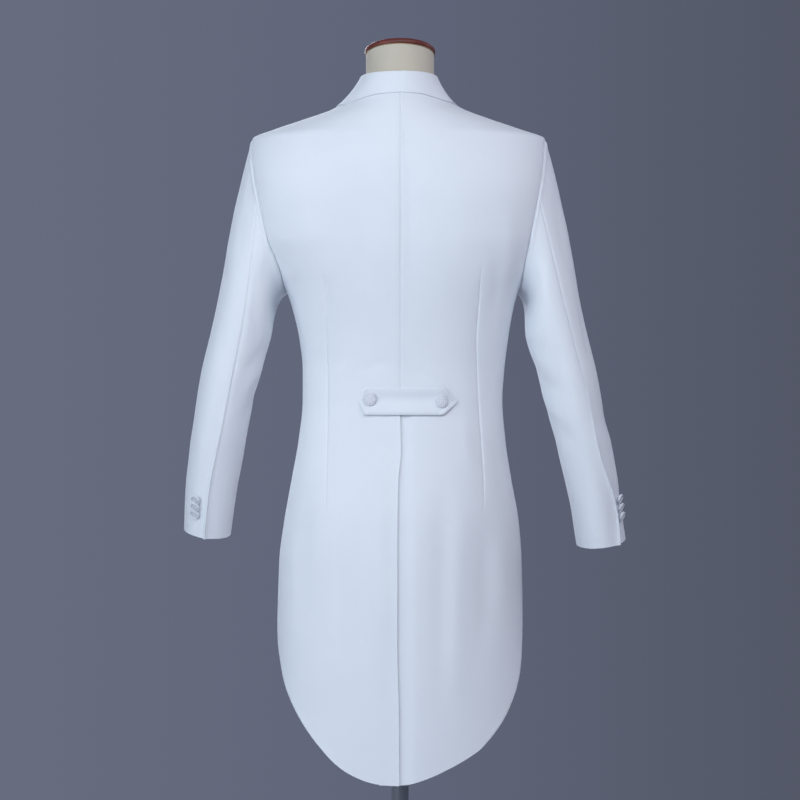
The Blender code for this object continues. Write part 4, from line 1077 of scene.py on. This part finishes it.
RIMMED = ((0, 0.80), (0.50, 0.77), (0.68, 0.68), (0.75, 0.56), (0.79, 0.57), (0.86, 0.93), (0.92, 1.0),
          (0.97, 0.92), (1.0, 0.74), (1.0, 0.34), (0.96, 0.20), (0.86, 0.08), (0.70, 0.0), (0, 0))
BUTTON_STEPS, BUTTON_SEAT = 48, 1.2
CUFF_PROBE_UP, CUFF_PROBE_TURN = 40, 3
# The silk is white; the check's dark tint is painted shade in the low threads of its weave.
CHECKED_SILK = cloth_material("checked silk", light=(0.97, 0.98, 1.0, 1), shade=(0.52, 0.56, 0.65, 1),
                              thread=0.0028, slant=0.0, slub=0.15, relief=0.75, roughness=0.34, sheen=0.6)
SPUN_MERGE = 0.002


def spun(profile, steps):
    """A turned shape: a profile of (radius, height) from the top down, spun about Z, with a flat UV."""
    mesh = bmesh.new()
    points = [mesh.verts.new((radius * MM, 0, height * MM)) for radius, height in profile]
    edges = [mesh.edges.new(pair) for pair in zip(points, points[1:])]
    bmesh.ops.spin(mesh, geom=points + edges, cent=(0, 0, 0), axis=(0, 0, 1), dvec=(0, 0, 0),
                   angle=2 * math.pi, steps=steps, use_merge=True, use_normal_flip=False,
                   use_duplicate=False)
    bmesh.ops.remove_doubles(mesh, verts=list(mesh.verts), dist=SPUN_MERGE * MM)
    bmesh.ops.recalc_face_normals(mesh, faces=list(mesh.faces))
    uv = mesh.loops.layers.uv.new("cut")
    for face in mesh.faces:
        for loop in face.loops:
            loop[uv].uv = loop.vert.co.xy
    return mesh


def facing(point, normal, upward):
    """Placement whose Z axis is the normal and whose Y axis is as near upward as it can be."""
    z_axis = Vector(normal).normalized()
    x_axis = Vector(upward).cross(z_axis).normalized()
    y_axis = z_axis.cross(x_axis)
    turn = Matrix((x_axis, y_axis, z_axis)).transposed().to_4x4()
    return Matrix.Translation(Vector(point) * MM) @ turn


def make_button(name, node, profile, radius, height, place):
    mesh = spun([(radius * out, height * up) for out, up in profile], BUTTON_STEPS)
    mesh.transform(place)
    placed(name, mesh, CHECKED_SILK, node)


for label, (x, height) in BELT_BUTTONS.items():
    seat = belt_rise(height - belt_middle, FAR_INSIDE, FAR_INSIDE) + BELT_WALL / 2 + BUTTON_SEAT
    point, normal = belt_surface(np.array([x]), np.array([height]), np.array([seat]))
    make_button("belt_button_cover_" + label, "belt_button_" + label, DOMED, BELT_BUTTON_RADIUS,
                BELT_BUTTON_HEIGHT, facing(point[0], normal[0], (0, 0, 1)))

for side, label in SIDES.items():
    turn = np.array([CUFF_BUTTON_COLUMN[side] * 360 / SLEEVE_COLUMNS])
    low = SLEEVE[side][-1].height
    cuff = sleeve_ring(side, np.array([low]), turn)[0]
    above = sleeve_ring(side, np.array([low + CUFF_PROBE_UP]), turn)[0]
    beside = sleeve_ring(side, np.array([low]), turn + CUFF_PROBE_TURN)[0]
    upward = unit(above - cuff)
    normal = unit(np.cross(upward, beside - cuff) * -side)
    for number in range(3):
        point = cuff + upward * (CUFF_BUTTON_FIRST[side] + number * CUFF_BUTTON_STEP[side])
        lift = CLOTH / 2 - CUFF_BUTTON_SINK + CUFF_BUTTON_RADIUS * math.sin(CUFF_BUTTON_TILT)
        place = facing(point + normal * lift, normal, upward) @ Matrix.Rotation(CUFF_BUTTON_TILT, 4, "X")
        make_button("cuff_button_cover_%s_%d" % (label, number + 1),
                    "cuff_button_%s_%d" % (label, number + 1), RIMMED, CUFF_BUTTON_RADIUS,
                    CUFF_BUTTON_HEIGHT, place)

# ------------------------------------------------------------------ stitching
# White silk thread: topstitching round the half-belt and pick stitches near the collar's edge.
THREAD_RADIUS, THREAD_SIDES, THREAD_RAISED = 0.22, 6, 0.4
BELT_STITCH, BELT_STITCH_STEP = 2.1, 2.9
PICK_STITCH, PICK_STITCH_STEP = 1.2, 5.0
PICK_IN, LEAF_CELL = 5.5, 5.2
STITCHED_HALF = (BELT_TOP - BELT_BOTTOM) / 2 - STITCH_IN
STITCHED_LEFT_TIP, STITCHED_LEFT_CORNER = BELT_LEFT_TIP - STITCH_IN - 0.6, BELT_LEFT_CORNER - 1.4
STITCHED_RIGHT_CORNER, STITCHED_RIGHT_TIP = BELT_RIGHT_CORNER + 1.5, BELT_RIGHT_TIP + STITCH_IN + 1.5
# Its shade tint is painted shade in the weave's low places.
THREAD = cloth_material("white thread", light=(0.80, 0.83, 0.88, 1), shade=(0.62, 0.66, 0.74, 1),
                        thread=0.0006, slant=1.0, slub=0.1, relief=0.3, roughness=0.45, sheen=0.1)


def read_along(line, travelled, at):
    """A point or a direction of a line, some way along it."""
    return np.array([np.interp(at, travelled, line[:, axis]) for axis in range(3)])


def stitch_row(name, points, normals, length, step):
    """Short stitches lying along a line of points."""
    travelled = np.concatenate([[0], np.cumsum(np.linalg.norm(np.diff(points, axis=0), axis=1))])
    mesh = bmesh.new()
    for at in np.arange(step / 2, travelled[-1] - step / 2, step):
        start, end = (read_along(points, travelled, at + way * length / 2) for way in (-1, 1))
        normal = read_along(normals, travelled, at)
        place = facing((start + end) / 2 + normal * THREAD_RADIUS * THREAD_RAISED, end - start, normal)
        bmesh.ops.create_cone(mesh, cap_ends=True, segments=THREAD_SIDES, radius1=THREAD_RADIUS * MM,
                              radius2=THREAD_RADIUS * MM, depth=length * MM, matrix=place)
    mesh.loops.layers.uv.new("cut")
    placed(name, mesh, THREAD, sharp=80)


outline = [(STITCHED_LEFT_TIP, 0), (STITCHED_LEFT_CORNER, STITCHED_HALF),
           (STITCHED_RIGHT_CORNER, STITCHED_HALF), (STITCHED_RIGHT_TIP, 0),
           (STITCHED_RIGHT_CORNER, -STITCHED_HALF), (STITCHED_LEFT_CORNER, -STITCHED_HALF)]
outline.append(outline[0])
stitch_x, stitch_up = [], []
for (x1, up1), (x2, up2) in zip(outline, outline[1:]):
    count = max(2, round(math.hypot(x2 - x1, up2 - up1)))
    stitch_x += list(np.linspace(x1, x2, count)[:-1])
    stitch_up += list(np.linspace(up1, up2, count)[:-1])
stitch_x, stitch_up = np.array(stitch_x), np.array(stitch_up)
stitch_edge, stitch_end = inside_edges(stitch_x, stitch_up)
stitch_lift = belt_rise(stitch_up, stitch_edge, stitch_end) + BELT_WALL / 2
line_points, line_normals = belt_surface(stitch_x, belt_middle + stitch_up, stitch_lift)
stitch_row("belt_stitches", line_points, line_normals, BELT_STITCH, BELT_STITCH_STEP)

edge_from = -1 - round(PICK_IN / LEAF_CELL)
picks = collar_points[:, edge_from] + collar_normals[:, edge_from] * CLOTH / 2
stitch_row("collar_pick_stitches", picks, collar_normals[:, edge_from], PICK_STITCH, PICK_STITCH_STEP)

# ------------------------------------------------------------------ dress form
# A hard torso and neck without arms or head, padded and covered in off-white linen, sewn down the
# front, the back and the sides. The coat rests on its shoulders.
Ease = namedtuple("Ease", "height side back front")
EASE = [
    Ease(1466, 13, 12, 6),
    Ease(1455, 9, 7, 6),
    Ease(1445, 8, 5, 6),
    Ease(1430, 8, 4.5, 7),
    Ease(1400, 11, 4.5, 9),
    Ease(1360, 16, 4, 11),
    Ease(1310, 21, 5, 13),
    Ease(1250, 24, 7, 13),
    Ease(1197, 14, 9, 13),
    Ease(1145, 9, 9, 12),
    Ease(1010, 9, 10, 10),
    Ease(890, 10, 10, 10),
    Ease(770, 10, 10, 10),
    Ease(748, 13, 13, 13),
    Ease(735, 22, 22, 22),
]
FORM_AROUND, FORM_STEP = 120, 8
FORM_HEM_RINGS, FORM_RINGS_FROM, FORM_RINGS_TO = (735, 738, 742, 748, 756), 766, 1466
NECK_HALF_WIDTH, NECK_HALF_DEPTH, NECK_MIDDLE = 51, 52, 3
NECK_RINGS = (1474, 1480, 1492, 1510)
NECK_TOP, NECK_BLEND = 1526, 0.75
NECK_TILT = math.radians(10)
FORM_SEAMS = (-90, -52, -128, 0, 180, 90)
SEAM_STEPS, SEAM_CLEAR = (0.25, 0.6, 1.1), 1.6
FORM_SEAM_DEPTH, FORM_SEAM_WIDTH = 0.8, 0.45
FORM_SEAM_START, FORM_SEAM_FULL = 740, 760
FORM_MERGE = 0.01
# Off-white linen; its shade tint is painted shade in the weave's low places.
LINEN = cloth_material("form linen", light=(0.66, 0.60, 0.50, 1), shade=(0.52, 0.47, 0.39, 1),
                       thread=0.0013, slant=0.0, slub=0.6, relief=0.35, roughness=0.85, sheen=0.1)


def make_form():
    angles = list(np.linspace(-180, 180, FORM_AROUND + 1)[:-1])
    for seam in FORM_SEAMS:
        seam = -180 if seam == 180 else seam
        angles = [angle for angle in angles if abs(angle - seam) > SEAM_CLEAR or angle == seam]
        angles += [(seam + way * step + 180) % 360 - 180 for step in SEAM_STEPS for way in (-1, 1)]
        angles.append(seam)
    angles = np.unique(np.round(angles, 4))
    heights = np.concatenate([FORM_HEM_RINGS, np.arange(FORM_RINGS_FROM, FORM_RINGS_TO, FORM_STEP),
                              [FORM_RINGS_TO]])
    off_seam = np.min([np.abs((angles - seam + 180) % 360 - 180) for seam in FORM_SEAMS], axis=0)
    groove = FORM_SEAM_DEPTH * np.exp(-(off_seam / FORM_SEAM_WIDTH) ** 2)
    rings = []
    for height in heights:
        section = {name: along(BODY, name, height) for name in Section._fields[1:]}
        ease = {name: along(EASE, name, height) for name in Ease._fields[1:]}
        ring = oval(angles, np.full_like(angles, height), section["left"] - ease["side"],
                    section["right"] - ease["side"], section["back"] - ease["back"],
                    section["front"] + ease["front"], section["middle"], section["power"],
                    section["right_power"])
        centre = np.array([0, section["middle"], height])
        seam_part = smooth(height, FORM_SEAM_START, FORM_SEAM_FULL)
        rings.append(ring - unit(ring - centre) * groove[:, None] * seam_part)
    for height in NECK_RINGS + (NECK_TOP,):
        ring = oval(angles, np.full_like(angles, height), NECK_HALF_WIDTH, NECK_HALF_WIDTH,
                    NECK_MIDDLE + NECK_HALF_DEPTH, NECK_MIDDLE - NECK_HALF_DEPTH, NECK_MIDDLE, 2.0, 2.0)
        if height == NECK_RINGS[0]:
            ring = mix(rings[-1], ring, NECK_BLEND)
            ring[:, 2] = height
        if height == NECK_TOP:
            ring[:, 2] += math.tan(NECK_TILT) * (ring[:, 1] - NECK_MIDDLE)
        rings.append(ring)
    points = np.stack(rings)
    closed = np.concatenate([points, points[:, :1]], axis=1)
    across, up = lengths(closed, 1), lengths(closed, 0)
    rows, columns = closed.shape[:2]
    mesh = bmesh.new()
    bmesh.ops.create_grid(mesh, x_segments=columns - 1, y_segments=rows - 1, size=0.5)
    uv = mesh.loops.layers.uv.new("cut")
    tags = {vertex: (round((vertex.co.y + 0.5) * (rows - 1)), round((vertex.co.x + 0.5) * (columns - 1)))
            for vertex in mesh.verts}
    for face in mesh.faces:
        for loop in face.loops:
            row, column = tags[loop.vert]
            loop[uv].uv = (across[row, column] * MM, up[row, column] * MM)
    for vertex, (row, column) in tags.items():
        vertex.co = closed[row, column] * MM
    bmesh.ops.remove_doubles(mesh, verts=list(mesh.verts), dist=FORM_MERGE * MM)
    bmesh.ops.holes_fill(mesh, edges=[edge for edge in mesh.edges if edge.is_boundary], sides=0)
    bmesh.ops.recalc_face_normals(mesh, faces=list(mesh.faces))
    placed("covered_form", mesh, LINEN, "form_torso")


make_form()

# ------------------------------------------------------------------ neck cap
# A thin gilt metal ring and a low dome of dark polished wood on the sloping top of the neck.
TRIM_RADIUS, TRIM_HEIGHT = 52.4, 1.6
TRIM_FLAT_IN, TRIM_EDGE_IN, TRIM_EDGE_DOWN = 0.6, 0.15, 0.25
CAP_RADIUS, CAP_HEIGHT = 53.0, 12.0
CAP_PROFILE = ((0, 1.0), (0.25, 0.993), (0.5, 0.965), (0.70, 0.91), (0.84, 0.82), (0.93, 0.68),
               (0.985, 0.48), (1.0, 0.28), (0.99, 0.10), (0.975, 0), (0, 0))
TURN_STEPS = 96
GRAIN_STRETCH = (1.0, 0.12, 1.0)
SCUFF_LOW, SCUFF_HIGH = 0.3, 0.7
LACQUER_ROUGHNESS = 0.15


def grain_group():
    """Wood grain: long streaks that bend a little, as a mask."""
    group, start, end = shader_group(
        "grain", [("Place", "NodeSocketVector", None), ("Streaks", "NodeSocketFloat", 60.0)],
        [("Mask", "NodeSocketFloat")])
    stretch = add_node(group, "Mapping", {"Vector": start.outputs["Place"], "Scale": GRAIN_STRETCH})
    noise = add_node(group, "TexNoise", {"Vector": stretch.outputs["Vector"],
                                         "Scale": start.outputs["Streaks"],
                                         "Detail": 6, "Distortion": 0.4})
    feed(group, end, {"Mask": noise.outputs[0]})
    return group


def scuffs_group():
    """Faint scuffs and dust on metal, as a mask for tint and roughness."""
    group, start, end = shader_group(
        "scuffs",
        [("Place", "NodeSocketVector", None), ("Size", "NodeSocketFloat", 30.0),
         ("Low", "NodeSocketFloat", 0.3), ("High", "NodeSocketFloat", 0.45)],
        [("Mask", "NodeSocketFloat"), ("Roughness", "NodeSocketFloat")])
    noise = add_node(group, "TexNoise", {"Vector": start.outputs["Place"], "Scale": start.outputs["Size"],
                                         "Detail": 8, "Roughness": 0.65})
    spread = add_node(group, "MapRange", {"Value": noise.outputs[0], "From Min": SCUFF_LOW,
                                          "From Max": SCUFF_HIGH, "To Min": start.outputs["Low"],
                                          "To Max": start.outputs["High"]})
    feed(group, end, {"Mask": noise.outputs[0], "Roughness": spread.outputs["Result"]})
    return group


GRAIN, SCUFFS = grain_group(), scuffs_group()


def hard_material(name, first, second, effect, values, metallic=0.0, coat=0.0, roughness=None):
    """A hard finish: two tints mixed by an effect's mask, read in the object's own space."""
    material, tree, shader = new_material(name)
    place = tree.nodes.new("ShaderNodeTexCoord").outputs["Object"]
    made = place_effect(tree, effect, {"Place": place, **values})
    mix_tints(tree, shader, first, second, made["Mask"])
    feed(tree, shader, {"Roughness": made["Roughness"] if roughness is None else roughness,
                        "Metallic": metallic, "Coat Weight": coat, "Coat Roughness": LACQUER_ROUGHNESS})
    return material


DARK_WOOD = hard_material("dark polished wood", (0.040, 0.006, 0.005, 1), (0.24, 0.042, 0.028, 1),
                          GRAIN, {"Streaks": 90.0}, coat=0.06, roughness=0.52)
GILT = hard_material("gilt metal", (0.50, 0.36, 0.20, 1), (0.30, 0.20, 0.10, 1),
                     SCUFFS, {"Size": 60.0, "Low": 0.35, "High": 0.6}, metallic=1.0)

neck_seat = (Matrix.Translation(Vector((0, NECK_MIDDLE, NECK_TOP)) * MM) @ Matrix.Rotation(NECK_TILT, 4, "X")
             @ Matrix.Translation((0, 0, SEAM_GAP * MM)))
trim_mesh = spun([(0, TRIM_HEIGHT), (TRIM_RADIUS - TRIM_FLAT_IN, TRIM_HEIGHT),
                  (TRIM_RADIUS - TRIM_EDGE_IN, TRIM_HEIGHT - TRIM_EDGE_DOWN),
                  (TRIM_RADIUS, TRIM_HEIGHT / 2), (TRIM_RADIUS - TRIM_EDGE_IN, TRIM_EDGE_DOWN),
                  (TRIM_RADIUS - TRIM_FLAT_IN, 0), (0, 0)], TURN_STEPS)
trim_mesh.transform(neck_seat)
placed("gilt_ring", trim_mesh, GILT, "neck_trim")

cap_mesh = spun([(CAP_RADIUS * out, CAP_HEIGHT * up) for out, up in CAP_PROFILE], TURN_STEPS)
cap_mesh.transform(neck_seat @ Matrix.Translation((0, 0, (TRIM_HEIGHT + SEAM_GAP) * MM)))
placed("wood_cap", cap_mesh, DARK_WOOD, "neck_cap")

# ------------------------------------------------------------------ stand
# A steel pole let into the form's underside, and a round weighted base with a boss that holds it,
# both in slate grey satin lacquer.
POLE_RADIUS, POLE_TOP = 13, 735 - SEAM_GAP
BASE_RADIUS, BASE_HEIGHT, BASE_EDGE, BASE_UNDER_EDGE = 190, 14, 4, 1.0
BOSS_RADIUS, BOSS_HEIGHT, BOSS_EDGE, BOSS_HOLLOW = 24, 48, 3, 1.2
LACQUER = hard_material("slate grey lacquer", (0.125, 0.134, 0.162, 1), (0.165, 0.176, 0.208, 1),
                        SCUFFS, {"Size": 22.0, "Low": 0.30, "High": 0.48}, coat=0.2)


def rounded(radius, height, edge, way, steps=5):
    """Points of a rounded outer edge, from the top down."""
    centre = (radius - edge, height - edge) if way == "top" else (radius - edge, height + edge)
    turns = np.linspace(90, 0, steps) if way == "top" else np.linspace(0, -90, steps)
    return [(centre[0] + edge * math.cos(math.radians(turn)),
             centre[1] + edge * math.sin(math.radians(turn))) for turn in turns]


base_profile = [(0, BOSS_HEIGHT)] + rounded(BOSS_RADIUS, BOSS_HEIGHT, BOSS_EDGE, "top")
base_profile += [(BOSS_RADIUS, BASE_HEIGHT + BASE_EDGE),
                 (BOSS_RADIUS + BOSS_HOLLOW, BASE_HEIGHT + BOSS_HOLLOW),
                 (BOSS_RADIUS + BASE_EDGE, BASE_HEIGHT)]
base_profile += rounded(BASE_RADIUS, BASE_HEIGHT, BASE_EDGE, "top")
base_profile += rounded(BASE_RADIUS, 0, BASE_UNDER_EDGE, "bottom") + [(0, 0)]
placed("round_base", spun(base_profile, TURN_STEPS), LACQUER, "stand_base")

pole_bottom = BOSS_HEIGHT + SEAM_GAP
pole_profile = [(0, POLE_TOP), (POLE_RADIUS, POLE_TOP), (POLE_RADIUS, pole_bottom), (0, pole_bottom)]
placed("pole", spun(pole_profile, TURN_STEPS // 2), LACQUER, "stand_pole")

# ------------------------------------------------------------------ floor, light and camera
# A pale studio floor, a grey-blue backdrop with painted light, lighter towards the coat's left and darker
# towards its right, large soft lamps above and to both sides of the coat's back, a strong one in front that
# lights its edges, and the camera straight behind it.
FLOOR_RADIUS, FLOOR_COLOUR, FLOOR_ROUGHNESS = 1.25, (0.55, 0.56, 0.60, 1), 0.9
BACKDROP_SPREAD = 0.19
# Backdrop colours from dark to light; the change between them is painted light falling off across the
# backdrop.
BACKDROP_PAINTED_FALLOFF = [(0.086, 0.095, 0.134, 1), (0.117, 0.133, 0.190, 1), (0.137, 0.155, 0.213, 1)]
CAMERA_BACK, CAMERA_HEIGHT, CAMERA_LENS, CAMERA_SENSOR = 3.2, 1.01, 96, 36

floor_mesh = bmesh.new()
bmesh.ops.create_circle(floor_mesh, cap_ends=True, segments=128, radius=FLOOR_RADIUS)
floor_data = bpy.data.meshes.new("floor")
floor_mesh.to_mesh(floor_data)
floor_mesh.free()
pale, pale_tree, pale_shader = new_material("pale floor")
feed(pale_tree, pale_shader, {"Base Color": FLOOR_COLOUR, "Roughness": FLOOR_ROUGHNESS})
floor_data.materials.append(pale)
shown("floor", floor_data)

world = bpy.data.worlds.new("studio")
world.use_nodes = True
studio = world.node_tree
way = studio.nodes.new("ShaderNodeTexCoord")
ways = add_node(studio, "SeparateXYZ", {"Vector": way.outputs["Generated"]})
aside = add_node(studio, "MapRange", {"Value": ways.outputs["X"], "From Min": -BACKDROP_SPREAD,
                                      "From Max": BACKDROP_SPREAD})
# Painted light: the backdrop runs from dark towards -X to light towards +X, the coat's left.
painted_falloff = add_node(studio, "ValToRGB", {0: aside.outputs["Result"]})
painted_falloff.color_ramp.elements.new(0.5)
for element, shade in zip(painted_falloff.color_ramp.elements, BACKDROP_PAINTED_FALLOFF):
    element.color = shade
feed(studio, studio.nodes["Background"], {"Color": painted_falloff.outputs["Color"]})
bpy.context.scene.world = world

Lamp = namedtuple("Lamp", "name place size watts colour")
LAMPS = [
    Lamp("high_back", (0.0, 2.6, 2.4), 1.4, 25, (0.77, 0.97, 1.0)),
    Lamp("right_high", (-1.8, 2.2, 3.0), 1.6, 27, (1.0, 0.89, 0.95)),
    Lamp("left", (2.6, 1.6, 1.4), 1.6, 14, (0.95, 1.0, 0.96)),
    Lamp("near_left", (1.6, 2.2, 1.6), 1.4, 11, (0.80, 0.90, 1.0)),
    Lamp("near_back", (0.6, 2.4, 1.5), 1.2, 7, (1.0, 0.76, 0.82)),
    Lamp("low_left", (2.2, 2.8, 0.6), 1.6, 14, (0.56, 0.80, 1.0)),
    Lamp("right_front", (-2.8, -0.8, 2.4), 1.6, 17, (0.76, 0.82, 1.0)),
    Lamp("front", (0.9, -3.0, 2.3), 1.8, 62, (0.90, 0.93, 1.0)),
]
AIM = Vector((0, 0, 1.0))
for lamp in LAMPS:
    data = bpy.data.lights.new(lamp.name, "AREA")
    data.shape = "DISK"
    data.size = lamp.size
    data.energy = lamp.watts
    data.color = lamp.colour
    light = shown(lamp.name, data)
    light.location = lamp.place
    light.rotation_euler = (AIM - Vector(lamp.place)).to_track_quat("-Z", "Y").to_euler()

camera_data = bpy.data.cameras.new("camera")
camera_data.lens = CAMERA_LENS
camera_data.sensor_width = CAMERA_SENSOR
camera = shown("camera", camera_data)
camera.location = (0, CAMERA_BACK, CAMERA_HEIGHT)
camera.rotation_euler = (math.radians(90), 0, math.radians(180))
bpy.context.scene.camera = camera
bpy.context.scene.view_settings.view_transform = "Standard"
